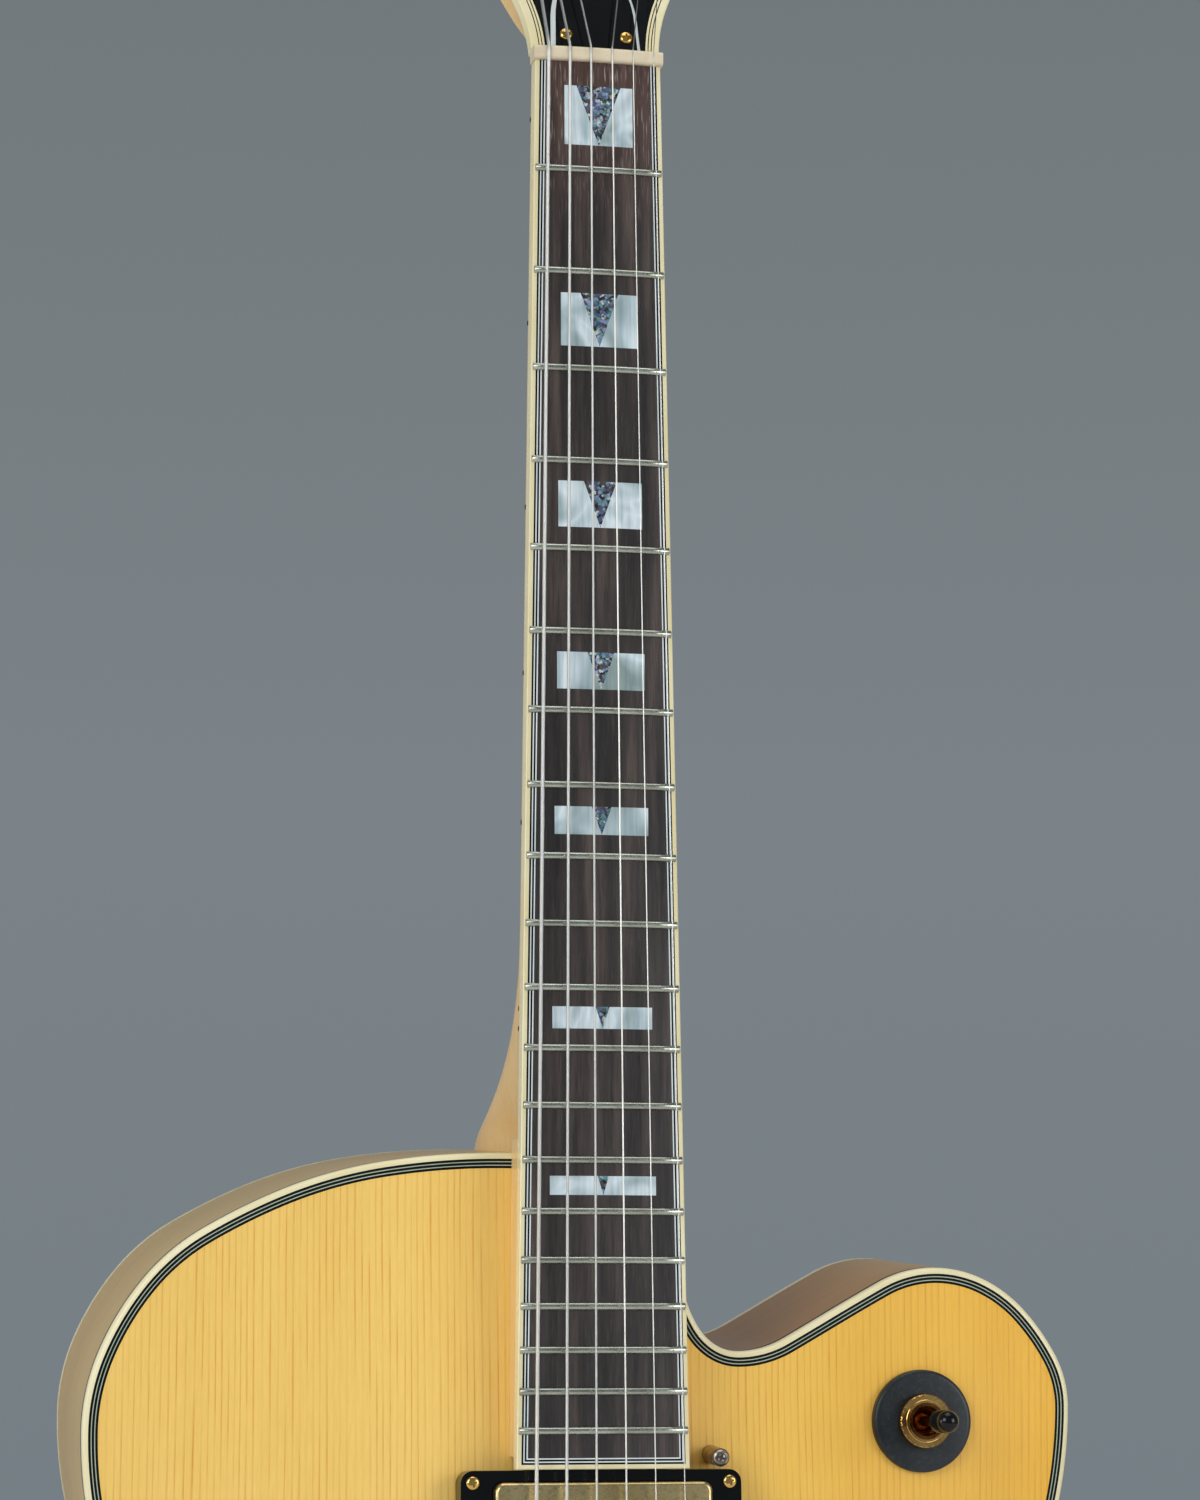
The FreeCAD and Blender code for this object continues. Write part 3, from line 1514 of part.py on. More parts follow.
# Output jack on the treble side of the lower bout, square to the rim
jack_point, jack_inward = outline_pieces[2 * tail_span + 1][0]
jack_depth = (rim_front + rim_back) / 2
jack_seat = jack_point + Vector(0, jack_depth, 0)


def at_rim(shape):
    placed = shape.copy()
    placed.Placement = FreeCAD.Placement(jack_seat, FreeCAD.Rotation(Vector(0, -1, 0), -jack_inward))
    return placed


jack_profile = [
    (jack_hole_radius, -jack_flange_height),
    (jack_flange_radius, -jack_flange_height),
    (jack_flange_radius, side_thickness),
    (jack_sleeve_radius, side_thickness),
    (jack_sleeve_radius, jack_length),
    (jack_hole_radius, jack_length),
]
jack_body = at_rim(turned(jack_profile))
jack_hole = at_rim(
    Part.makeCylinder(jack_sleeve_radius, 2 * jack_length, Vector(0, -jack_length, 0), Vector(0, 1, 0))
)
rim_ring = outline_ring(0, side_thickness, sides_front, sides_back)
nodes["output_jack"] = jack_body.cut(rim_ring.cut(jack_hole))

button_profile = [
    (0, -button_length),
    (button_flange_radius / 2, -button_length),
    (button_flange_radius, button_flange_radius / 4 - button_length),
    (button_flange_radius, button_flange_radius / 2 - button_length),
    (button_waist_radius, button_waist_radius + button_flange_radius / 4 - button_length),
    (button_waist_radius, -button_waist_radius),
    (button_base_radius, 0),
    (button_spigot_radius, 0),
    (button_spigot_radius, button_spigot_length),
    (0, button_spigot_length),
]
button = turned(button_profile)
tail_button = button.copy()
tail_button.rotate(Vector(0, 0, 0), Vector(1, 0, 0), 90)
tail_button.translate(Vector(0, jack_depth, tail_z - bracket_thickness))
heel_button = button.copy()
heel_button.rotate(Vector(0, 0, 0), Vector(0, 0, 1), 90)
heel_button_x = board_half(joint_distance) * (1 - heel_taper_share)
heel_button.translate(Vector(heel_button_x, rim_back - heel_button_inset, body_top + heel_button_inset / 2))
nodes["neck"] = nodes["neck"].cut(heel_button)
nodes["strap_buttons"] = Part.makeCompound([tail_button, heel_button.cut(nodes["neck"])])
nodes["tailpiece_bracket"] = Part.makeCompound([bracket.cut(tail_button), hinge_pin])

for name, low, high in (("bass_side", -room - lower_bout, 0), ("treble_side", 0, room + lower_bout)):
    half = rim_ring.common(block(low, high, sides_front, sides_back, tail_z - room, body_top + room))
    nodes[name] = half.cut(Part.makeCompound([jack_hole, tail_button]))

cavity = outline_prism(side_thickness, rim_front - body_room, rim_back + body_room)
neck_block = block(
    -neck_block_width / 2,
    neck_block_width / 2,
    rim_front - body_room,
    rim_back + body_room,
    body_top - neck_block_length,
    body_top,
)
tail_block = block(
    -tail_block_width / 2,
    tail_block_width / 2,
    rim_front - body_room,
    rim_back + body_room,
    tail_z,
    tail_z + tail_block_length,
)
blocks = [
    b.common(cavity).common(under_top).common(under_back).cut(Part.makeCompound([tail_button] + routs))
    for b in (neck_block, tail_block)
]
nodes["end_blocks"] = Part.makeCompound(blocks)
lining_edge = side_thickness + lining_width
lining_rings = [
    outline_ring(side_thickness, lining_edge, sides_front + lining_gap, sides_front + lining_height),
    outline_ring(side_thickness, lining_edge, sides_back - lining_height, sides_back - lining_gap),
]
lining_cuts = Part.makeCompound([neck_block, tail_block, jack_body])
linings = [r.cut(lining_cuts) for r in lining_rings]
nodes["linings"] = Part.makeCompound(linings)
bars = []
for side in (-1, 1):
    centre = side * tone_bar_across / 2
    bar = block(
        centre - tone_bar_width / 2,
        centre + tone_bar_width / 2,
        rim_front - body_room,
        rim_front + tone_bar_height - top_arch / 2,
        body_top - body_length * tone_bar_end_share,
        body_top - body_length * tone_bar_start_share,
    )
    bars.append(bar.common(under_top))
nodes["tone_bars"] = Part.makeCompound(bars)
nodes["screws"] = Part.makeCompound(cover_screws + ring_screws)

for name, shape in nodes.items():
    shape.exportStep("parts/%s.step" % name)
print(len(nodes), "nodes")
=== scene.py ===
import json
import math

import bmesh
import bpy
import numpy as np
from mathutils import Matrix, Vector

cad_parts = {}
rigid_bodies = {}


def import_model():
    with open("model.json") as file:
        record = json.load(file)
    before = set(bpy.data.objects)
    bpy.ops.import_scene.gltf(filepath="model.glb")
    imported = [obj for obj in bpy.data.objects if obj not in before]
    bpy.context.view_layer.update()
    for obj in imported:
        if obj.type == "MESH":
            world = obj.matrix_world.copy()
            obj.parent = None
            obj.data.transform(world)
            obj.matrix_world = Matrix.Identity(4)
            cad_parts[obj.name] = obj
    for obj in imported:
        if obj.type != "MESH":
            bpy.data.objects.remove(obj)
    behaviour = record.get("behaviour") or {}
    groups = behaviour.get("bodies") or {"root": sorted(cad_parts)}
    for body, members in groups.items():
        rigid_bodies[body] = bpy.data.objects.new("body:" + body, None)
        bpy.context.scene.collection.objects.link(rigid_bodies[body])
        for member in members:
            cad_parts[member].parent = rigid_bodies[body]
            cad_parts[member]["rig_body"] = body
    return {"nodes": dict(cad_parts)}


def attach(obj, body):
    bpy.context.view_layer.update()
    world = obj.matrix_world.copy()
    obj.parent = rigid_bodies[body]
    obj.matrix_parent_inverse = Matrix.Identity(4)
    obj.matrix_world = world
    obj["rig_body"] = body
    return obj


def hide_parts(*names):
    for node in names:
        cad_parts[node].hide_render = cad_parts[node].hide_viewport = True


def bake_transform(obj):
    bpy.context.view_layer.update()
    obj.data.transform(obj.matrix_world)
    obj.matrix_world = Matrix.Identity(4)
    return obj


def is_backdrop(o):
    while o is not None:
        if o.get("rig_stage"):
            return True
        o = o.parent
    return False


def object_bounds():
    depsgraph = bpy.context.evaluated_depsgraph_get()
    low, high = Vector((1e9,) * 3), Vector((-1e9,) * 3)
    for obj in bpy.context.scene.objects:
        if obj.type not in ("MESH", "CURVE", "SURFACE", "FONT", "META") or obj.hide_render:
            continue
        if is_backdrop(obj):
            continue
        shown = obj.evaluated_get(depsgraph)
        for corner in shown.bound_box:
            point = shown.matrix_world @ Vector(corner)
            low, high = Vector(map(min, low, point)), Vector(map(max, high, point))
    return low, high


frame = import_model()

cad_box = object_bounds()

# Studio: the guitar hangs upright before a plain grey wall, over a pale floor well below its tail.
# Broad soft boxes light it from the front left, the front right, the left side and overhead; the
# long lens looks at it from the bass side, a little below the middle of the neck.
scene = bpy.context.scene
scene.view_settings.view_transform = "Standard"


def placed(name, data):
    piece = bpy.data.objects.new(name, data)
    scene.collection.objects.link(piece)
    return piece


lens = bpy.data.cameras.new("studio_camera")
lens.sensor_width = 36.0
lens.lens = 104.17
lens.clip_start = 0.05
camera = placed("studio_camera", lens)
camera_place = (-0.29380856, -1.37056229, -0.34189963)
camera_right = Vector((0.97711126, -0.21246659, 0.01056072))
camera_up = Vector((-0.02773581, -0.07801945, 0.99656595))
camera_ahead = Vector((0.21091303, 0.97404872, 0.08212662))
camera_turn = Matrix((camera_right, camera_up, -camera_ahead)).transposed().to_4x4()
camera.matrix_world = Matrix.Translation(camera_place) @ camera_turn
scene.camera = camera

light_aim = Vector((0, 0, -0.45))
for name, place, size, power in (
    ("key_box", (-2.0, -1.9, 0.7), 1.5, 29.0),
    ("fill_box", (1.9, -1.9, 0.1), 1.3, 21.0),
    ("overhead_box", (0.1, -0.3, 1.7), 1.4, 11.0),
    ("side_box", (-2.3, -0.4, -0.3), 1.0, 9.0),
):
    lamp = bpy.data.lights.new(name, "AREA")
    lamp.size = size
    lamp.energy = power
    box = placed(name, lamp)
    box.visible_camera = False
    turn = (light_aim - Vector(place)).to_track_quat("-Z", "Y").to_matrix().to_4x4()
    box.matrix_world = Matrix.Translation(place) @ turn


def shade(red, green, blue):
    """A colour given as the screen shows it, 0 to 255, as linear light."""
    lights = [v / 255 for v in (red, green, blue)]
    return tuple(p / 12.92 if p <= 0.04045 else ((p + 0.055) / 1.055) ** 2.4 for p in lights) + (1.0,)


def node(tree, kind, inputs=(), **settings):
    """A node with its settings, its values and its links."""
    made = tree.nodes.new(kind)
    for name, value in settings.items():
        setattr(made, name, value)
    for name, value in dict(inputs).items():
        if isinstance(value, bpy.types.NodeSocket):
            tree.links.new(value, made.inputs[name])
        else:
            made.inputs[name].default_value = value
    return made


def step(tree, kind, inputs=(), **settings):
    """The first output of a new node."""
    return node(tree, kind, inputs, **settings).outputs[0]


def maths(operation, *values):
    """A sum over sockets and numbers."""
    tree = next(v for v in values if isinstance(v, bpy.types.NodeSocket)).id_data
    return step(tree, "ShaderNodeMath", enumerate(values), operation=operation)


def parts(place):
    return node(place.id_data, "ShaderNodeSeparateXYZ", {"Vector": place}).outputs


def mapped(value, low, high, to_low=0.0, to_high=1.0):
    """A value carried from one range to another."""
    ranges = {"From Min": low, "From Max": high, "To Min": to_low, "To Max": to_high}
    return step(value.id_data, "ShaderNodeMapRange", {"Value": value, **ranges})


def ramp(source, *stops):
    """A colour ramp over a mask, its stops as place and colour."""
    made = node(source.id_data, "ShaderNodeValToRGB", {"Fac": source})
    while len(made.color_ramp.elements) < len(stops):
        made.color_ramp.elements.new(0.5)
    for element, (place, colour) in zip(made.color_ramp.elements, stops):
        element.position = place
        element.color = colour
    return made.outputs["Color"]


world = bpy.data.worlds.new("studio_room")
world.use_nodes = True
scene.world = world
room = world.node_tree
room.nodes.clear()
WALL_LOW, WALL_HIGH, DAYLIGHT = -0.12, 0.26, 0.42
way = parts(node(room, "ShaderNodeTexCoord").outputs["Generated"])
wall = ramp(
    mapped(way["Z"], WALL_LOW, WALL_HIGH),
    (0.0, shade(117, 126, 132)),
    (0.5, shade(123, 131, 136)),
    (1.0, shade(113, 121, 124)),
)
ray = node(room, "ShaderNodeLightPath").outputs
seen = maths("ADD", ray["Is Camera Ray"], ray["Is Glossy Ray"])
pair = {0: seen, 1: ray["Is Transmission Ray"]}
seen = step(room, "ShaderNodeMath", pair, operation="ADD", use_clamp=True)
daylight = step(room, "ShaderNodeBackground", {"Color": shade(246, 248, 255), "Strength": DAYLIGHT})
backdrop = step(room, "ShaderNodeBackground", {"Color": wall})
mixed = step(room, "ShaderNodeMixShader", {0: seen, 1: daylight, 2: backdrop})
node(room, "ShaderNodeOutputWorld", {"Surface": mixed})


def finish(name, **values):
    """A new material with its node tree and its shader."""
    material = bpy.data.materials.new(name)
    material.use_nodes = True
    shader = material.node_tree.nodes["Principled BSDF"]
    for key, value in values.items():
        shader.inputs[key.replace("_", " ")].default_value = value
    return material, material.node_tree, shader


def feed(shader, socket, name="Base Color"):
    shader.id_data.links.new(socket, shader.inputs[name])


floor_paint, tree, shader = finish("floor_paint", Roughness=0.7)
speck = step(tree, "ShaderNodeTexNoise", {"Scale": 6.0, "Detail": 4.0})
feed(shader, ramp(speck, (0.0, shade(222, 222, 220)), (1.0, shade(232, 232, 230))))
FLOOR_REACH, FLOOR_HEIGHT, FLOOR_SIDES = 2.6, -0.95, 64
turns = [math.tau * i / FLOOR_SIDES for i in range(FLOOR_SIDES)]
rim = [(FLOOR_REACH * math.cos(t), FLOOR_REACH * math.sin(t), FLOOR_HEIGHT) for t in turns]
floor_mesh = bpy.data.meshes.new("studio_floor")
floor_mesh.from_pydata(rim, [], [list(range(FLOOR_SIDES))])
floor_mesh.materials.append(floor_paint)
placed("studio_floor", floor_mesh)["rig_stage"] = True


# Sides: two thin maple strips bent round the rim, bookmatched at the tail, left pale and lacquered.
# Their grain runs along the strip, and the clear gloss over it shows soft, wide reflections.
def group(name, inputs, outputs):
    """A shader group with its named sockets: floats in, floats out."""
    tree = bpy.data.node_groups.new(name, "ShaderNodeTree")
    for label, value in inputs:
        socket = tree.interface.new_socket(label, in_out="INPUT", socket_type="NodeSocketFloat")
        socket.default_value = value
    for label in outputs:
        tree.interface.new_socket(label, in_out="OUTPUT", socket_type="NodeSocketFloat")
    return tree, tree.nodes.new("NodeGroupInput").outputs, tree.nodes.new("NodeGroupOutput").inputs


def using(tree, shared, **values):
    """The outputs of a shared group, placed in a material with its own values."""
    values = {key.replace("_", " "): value for key, value in values.items()}
    return node(tree, "ShaderNodeGroup", values, node_tree=shared).outputs


def place_on(tree):
    return node(tree, "ShaderNodeTexCoord").outputs["Object"]


def vector(tree, x=0.0, y=0.0, z=0.0):
    return step(tree, "ShaderNodeCombineXYZ", {"X": x, "Y": y, "Z": z})


def vector_maths(operation, one, other):
    return step(one.id_data, "ShaderNodeVectorMath", {0: one, 1: other}, operation=operation)


def noise(place, scale, detail, **more):
    values = {"Vector": place, "Scale": scale, "Detail": detail, **more}
    return step(place.id_data, "ShaderNodeTexNoise", values)


wood_grain, inside, outside = group(
    "wood_grain",
    (("Across X", 500.0), ("Across Y", 500.0), ("Along", 12.0), ("Shift", 0.0)),
    ("Lines", "Figure", "Fibre"),
)
stretch = vector(wood_grain, inside["Across X"], inside["Across Y"], inside["Along"])
laid = vector_maths("MULTIPLY", place_on(wood_grain), stretch)
laid = vector_maths("ADD", laid, vector(wood_grain, inside["Shift"], inside["Shift"]))
for label, scale, detail, rough in (
    ("Lines", 1.0, 2.0, 0.5),
    ("Figure", 0.09, 3.0, 0.55),
    ("Fibre", 3.1, 3.0, 0.7),
):
    mask = noise(vector_maths("MULTIPLY", laid, (scale,) * 3), 1.0, detail, Roughness=rough)
    wood_grain.links.new(mask, outside[label])


def mixed_colour(share, one, other, blend="MIX"):
    """Two colours mixed by a share, which may be a mask."""
    inputs = {0: share, 6: one, 7: other}
    return node(one.id_data, "ShaderNodeMix", inputs, data_type="RGBA", blend_type=blend).outputs[2]


def times(one, other, share=1.0):
    return mixed_colour(share, one, other, "MULTIPLY")


def relief(shader, mask, strength, distance):
    values = {"Height": mask, "Strength": strength, "Distance": distance}
    feed(shader, step(mask.id_data, "ShaderNodeBump", values), "Normal")


def grey(value):
    return (value, value, value, 1)


def maple_finish(name, pale, dark, across, along, shift, gloss):
    """Lacquered maple: a cloudy figure under short darker fibres."""
    material, tree, shader = finish(name, Roughness=gloss, Coat_Weight=0.2, Coat_Roughness=0.12)
    grain = using(tree, wood_grain, Across_X=across[0], Across_Y=across[1], Along=along, Shift=shift)
    base = ramp(grain["Figure"], (0.3, dark), (0.7, pale))
    streak = ramp(grain["Fibre"], (0.3, (0.80, 0.76, 0.70, 1)), (0.62, grey(1)))
    feed(shader, times(base, streak, 0.55))
    relief(shader, grain["Fibre"], 0.05, 0.0004)
    return material


def skinned(mesh, angle=None, merge=0.0, outward=True):
    """A mesh with its doubles merged and its faces outward, smooth up to an angle if one is given."""
    skin = bmesh.new()
    skin.from_mesh(mesh)
    if merge:
        bmesh.ops.remove_doubles(skin, verts=skin.verts, dist=merge)
    if outward:
        bmesh.ops.recalc_face_normals(skin, faces=skin.faces)
    if angle:
        for face in skin.faces:
            face.smooth = True
        for edge in skin.edges:
            edge.smooth = len(edge.link_faces) == 2 and edge.calc_face_angle(0.0) < math.radians(angle)
    skin.to_mesh(mesh)
    skin.free()
    return mesh


def smoothed(name, source, material, angle=32):
    """A solid's facets merged into one smooth skin, sharp where the piece has an edge."""
    cad = frame["nodes"][source]
    mesh = cad.data.copy()
    if "custom_normal" in mesh.attributes:
        mesh.attributes.remove(mesh.attributes["custom_normal"])
    skinned(mesh, angle, merge=2e-6, outward=False)
    mesh.polygons.foreach_set("material_index", [0] * len(mesh.polygons))
    mesh.materials.clear()
    mesh.materials.append(material)
    piece = placed(name, mesh)
    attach(piece, cad["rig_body"])
    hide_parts(source)
    return piece


rim_maple = maple_finish(
    "rim_maple", shade(206, 176, 115), shade(191, 160, 100),
    across=(14, 130), along=14.0, shift=3.0, gloss=0.36,
)
smoothed("bass_rim_strip", "bass_side", rim_maple)
# Painted shade: the cutaway's strip gets a darker copy of the rim maple, browner still near the neck, for
# the shade that lies in the cutaway.
cutaway_maple = maple_finish(
    "cutaway_maple", shade(206, 170, 112), shade(190, 152, 96),
    across=(14, 130), along=14.0, shift=9.0, gloss=0.36,
)
tree = cutaway_maple.node_tree
shader = tree.nodes["Principled BSDF"]
CUTAWAY_SHADE_START, CUTAWAY_SHADE_END = 0.035, 0.125
deep = ramp(
    mapped(parts(place_on(tree))["X"], CUTAWAY_SHADE_START, CUTAWAY_SHADE_END),
    (0.0, (0.52, 0.37, 0.28, 1)),
    (0.5, (0.74, 0.62, 0.52, 1)),
    (1.0, (1, 0.98, 0.94, 1)),
)
plain = shader.inputs["Base Color"].links[0].from_socket
feed(shader, times(plain, deep))
smoothed("treble_rim_strip", "treble_side", cutaway_maple)

# Back: a maple plate carved to a low arch, its grain upright with a faint flame across it,
# glued to the sides inside the back binding.
back_maple = maple_finish(
    "back_maple", shade(214, 184, 134), shade(192, 158, 108),
    across=(300, 60), along=22.0, shift=11.0, gloss=0.3,
)
smoothed("carved_back", "back_plate", back_maple)

# Blocks, linings and bars: plain unfinished wood glued inside the body at the neck, the tail,
# along both edges of the rim and under the top.
bare_wood = maple_finish(
    "bare_wood", shade(214, 190, 150), shade(190, 160, 116),
    across=(420, 420), along=16.0, shift=23.0, gloss=0.6,
)
for part in ("end_blocks", "linings", "tone_bars"):
    frame["nodes"][part].data.materials.clear()
    frame["nodes"][part].data.materials.append(bare_wood)

# Top: a spruce plate carved to a low arch, close upright grain under a clear amber gloss.
# It is routed for the pickups, drilled for the controls and pierced by the two bound f-holes.
spruce, tree, shader = finish("amber_spruce", Roughness=0.3, Coat_Weight=0.4, Coat_Roughness=0.1)
grain = using(tree, wood_grain, Across_X=520.0, Across_Y=20.0, Along=34.0, Shift=7.0)
spot = place_on(tree)
across = parts(spot)["X"]
# Across the top the colour runs from pale amber on the bass side to a deeper, darker orange towards the
# treble side.
AMBER_START, AMBER_END = -0.02, 0.16
ground = ramp(
    mapped(across, AMBER_START, AMBER_END),
    (0.0, shade(248, 209, 114)),
    (0.5, shade(247, 200, 90)),
    (1.0, shade(245, 190, 66)),
)
cloud = ramp(grain["Figure"], (0.35, (0.95, 0.92, 0.84, 1)), (0.65, grey(1)))
ground = times(ground, cloud)
RINGS_PER_METRE, RING_WANDER = 450.0, 2.4
drift = noise(vector_maths("MULTIPLY", spot, (70.0, 0.0, 1.6)), 1.0, 2.0)
year = maths("MULTIPLY_ADD", drift, RING_WANDER, maths("MULTIPLY", across, RINGS_PER_METRE))
late = ramp(
    maths("FRACT", year),
    (0.0, grey(0.2)),
    (0.06, grey(0)),
    (0.70, grey(0.04)),
    (0.93, grey(1)),
    (1.0, grey(0.2)),
)
broken = ramp(grain["Lines"], (0.38, grey(0.2)), (0.62, grey(1)))
dashes = ramp(grain["Fibre"], (0.38, grey(0.45)), (0.58, grey(1)))
late = times(times(late, broken), dashes)
colour = mixed_colour(late, ground, shade(219, 150, 52))
silk = ramp(grain["Fibre"], (0.35, (0.95, 0.93, 0.88, 1)), (0.6, grey(1)))
feed(shader, times(colour, silk))
relief(shader, late, 0.03, 0.0003)
smoothed("carved_top", "top_plate", spruce)

# Bindings: cream plastic strips bent into a ledge round both edges of the rim, scraped to a small
# round at the front, with a thin black line below the front strip. The f-holes are lined with it too.
RIM_FRONT, RIM_BACK = -0.009555, 0.078445
SIDES_FRONT, SIDES_BACK = -0.004055, 0.072945
BODY_TOP, BODY_LENGTH = -0.356507, 0.530
UPPER, WAIST, LOWER = 0.3212, 0.2560, 0.4410
outline_shares = (
    (UPPER, -0.187, 0.0, 180),
    (UPPER, -0.636, 0.0247, 203.3),
    (UPPER, -0.892, 0.0768, 231.3),
    (UPPER, -1.003, 0.165, 270),
    (WAIST, -1.0, 0.405, 270),
    (LOWER, -1.0, 0.7015, 270),
    (LOWER, 0.0, 1.0, 0),
    (LOWER, 1.0, 0.7015, 90),
    (WAIST, 1.0, 0.405, 90),
    (UPPER, 0.994, 0.153, 90),
    (UPPER, 0.900, 0.0936, 133.5),
    (UPPER, 0.7105, 0.0679, 180),
    (UPPER, 0.4888, 0.0951, 210.1),
    (UPPER, 0.302, 0.1185, 180),
    (UPPER, 0.2192, 0.1032, 121.3),
    (UPPER, 0.1806, 0.06, 90),
)


def heading(turn):
    return np.array((math.cos(turn), math.sin(turn)))


def arc_walk(start, ahead, end, spacing):
    """Points and inward normals along the arc that leaves start straight ahead and meets end."""
    normal = np.array((-ahead[1], ahead[0]))
    chord = end - start
    lean = float(normal @ chord)
    if abs(lean) < 1e-9:
        shares = np.linspace(0, 1, max(2, int(np.hypot(*chord) / spacing)), endpoint=False)
        return start + shares[:, None] * chord, np.repeat(normal[None], len(shares), 0), ahead
    radius = float(chord @ chord) / (2 * lean)
    sweep = 2 * math.atan2(lean, float(chord @ ahead))
    turns = np.linspace(0, sweep, max(3, int(abs(radius * sweep) / spacing) + 1), endpoint=False)
    normals = np.cos(turns)[:, None] * normal - np.sin(turns)[:, None] * ahead
    last = math.cos(sweep) * ahead + math.sin(sweep) * normal
    return start + normal * radius - normals * radius, normals, last


def edge_walk(stations, spacing):
    """Two tangent arcs between each two stations; a station is across, up and heading in degrees."""
    points, normals = [], []
    for (ax, az, a_turn), (bx, bz, b_turn) in zip(stations, stations[1:]):
        start, end = np.array((ax, az)), np.array((bx, bz))
        first, last = heading(math.radians(a_turn)), heading(math.radians(b_turn))
        chord = end - start
        spread = 2 * (1 - float(first @ last))
        along = float(chord @ (first + last))
        if spread < 1e-7:
            reach = float(chord @ chord) / (2 * along)
        else:
            reach = (math.sqrt(along**2 + spread * float(chord @ chord)) - along) / spread
        joint = (start + first * reach + end - last * reach) / 2
        ahead = first
        for a, b in ((start, joint), (joint, end)):
            arc_points, arc_normals, ahead = arc_walk(a, ahead, b, spacing)
            points.append(arc_points)
            normals.append(arc_normals)
    points.append(end[None])
    normals.append(np.array((-last[1], last[0]))[None])
    return np.concatenate(points), np.concatenate(normals)


def quads(start, count, sides, closed):
    """Faces between rows of corners, the last row joined to the first if the skin is closed."""
    faces = []
    for i in range(count if closed else count - 1):
        a, b = start + i * sides, start + (i + 1) % count * sides
        faces += [(a + j, b + j, b + (j + 1) % sides, a + (j + 1) % sides) for j in range(sides)]
    return faces


def swept(name, rows, material, closed=False, angle=32, merge=0.0):
    """A skin over rows of corners, each row one section; open ends are capped."""
    count, sides = len(rows), len(rows[0])
    faces = quads(0, count, sides, closed)
    if not closed:
        faces += [tuple(range(sides)), tuple(range((count - 1) * sides, count * sides))[::-1]]
    mesh = bpy.data.meshes.new(name)
    mesh.from_pydata([corner for row in rows for corner in row], [], faces)
    mesh.materials.append(material)
    return placed(name, skinned(mesh, angle, merge))


def as_it_is(x, depth, up):
    return (x, depth, up)


def band(name, walk, section, material, closed, place=as_it_is):
    """A strip whose section, as inset and depth, is carried along an edge."""
    rows = []
    for point, normal in zip(*walk):
        edge = [(point + normal * inset, depth) for inset, depth in section]
        rows.append([place(x, depth, z) for (x, z), depth in edge])
    return swept(name, rows, material, closed)


def fixed(piece, slot, *stands_for):
    """A piece that belongs to the guitar's fixed body."""
    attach(piece, "guitar")
    if stands_for:
        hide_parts(*stands_for)
    return piece


surface_wear, inside, outside = group(
    "surface_wear", (("Size", 60.0), ("Shift", 0.0)), ("Cloud", "Scuff", "Speck")
)
spot = vector_maths("ADD", place_on(surface_wear), vector(surface_wear, inside["Shift"]))
for label, scale, detail, rough in (
    ("Cloud", 1.0, 3.0, 0.5),
    ("Scuff", 9.0, 6.0, 0.75),
    ("Speck", 30.0, 2.0, 0.6),
):
    mask = noise(spot, maths("MULTIPLY", inside["Size"], scale), detail, Roughness=rough)
    surface_wear.links.new(mask, outside[label])


def cloudy(wear, low, high):
    return ramp(wear["Cloud"], (0.35, low), (0.65, high))


def plastic_finish(name, low, high, size, rough, bumpy=0.03, mirror=0.4):
    """A moulded or sheet plastic: a slow drift of its colour and a gloss broken by fine scuffs."""
    material, tree, shader = finish(
        name, Coat_Weight=0.05, Coat_Roughness=0.1, Specular_IOR_Level=mirror
    )
    wear = using(tree, surface_wear, Size=size, Shift=rough * 3)
    feed(shader, cloudy(wear, low, high))
    feed(shader, mapped(wear["Scuff"], 0.3, 0.7, rough - 0.06, rough + 0.08), "Roughness")
    relief(shader, wear["Scuff"], bumpy, 0.0002)
    return material


cream = plastic_finish("cream_binding", shade(226, 215, 168), shade(236, 228, 188), size=24.0, rough=0.22)
black_ply = plastic_finish(
    "black_ply", shade(9, 11, 12), shade(14, 16, 17), size=40.0, rough=0.36, bumpy=0.01, mirror=0.15
)
pale_ply = plastic_finish("pale_ply", shade(160, 174, 152), shade(180, 192, 170), size=40.0, rough=0.3)

outline_stations = [
    (width / 2 * across, BODY_TOP - BODY_LENGTH * down, turn)
    for width, across, down, turn in outline_shares
]
RIM_SPACING = 0.0015
rim_points, rim_normals = edge_walk(outline_stations, RIM_SPACING)
neck_corner = (outline_stations[-1][0], BODY_TOP)
body_edge = (
    np.concatenate((rim_points, [neck_corner])),
    np.concatenate((rim_normals, [(-1.0, -1.0)])),
)

BINDING, LINE, EDGE_ROUND, ROUND_STEPS = 0.0019, 0.0021, 0.0018, 8
rounded = [
    (EDGE_ROUND - EDGE_ROUND * math.cos(t), RIM_FRONT + EDGE_ROUND - EDGE_ROUND * math.sin(t))
    for t in np.linspace(0, math.pi / 2, ROUND_STEPS)
]
line_front = SIDES_FRONT - LINE
front_section = [(BINDING, line_front), (0, line_front)] + rounded + [(BINDING, RIM_FRONT)]
fixed(band("front_binding", body_edge, front_section, cream, True), "cream", "top_binding")
line_section = [(BINDING, SIDES_FRONT), (0, SIDES_FRONT), (0, line_front), (BINDING, line_front)]
fixed(band("front_binding_line", body_edge, line_section, black_ply, True), "edge_plies")
back_round = [(a, RIM_FRONT + RIM_BACK - d) for a, d in rounded]
back_section = [(BINDING, SIDES_BACK), (0, SIDES_BACK)] + back_round + [(BINDING, RIM_BACK)]
fixed(band("back_edge_binding", body_edge, back_section, cream, True), "cream", "back_binding")
smoothed("f_hole_lining", "f_hole_binding", cream)

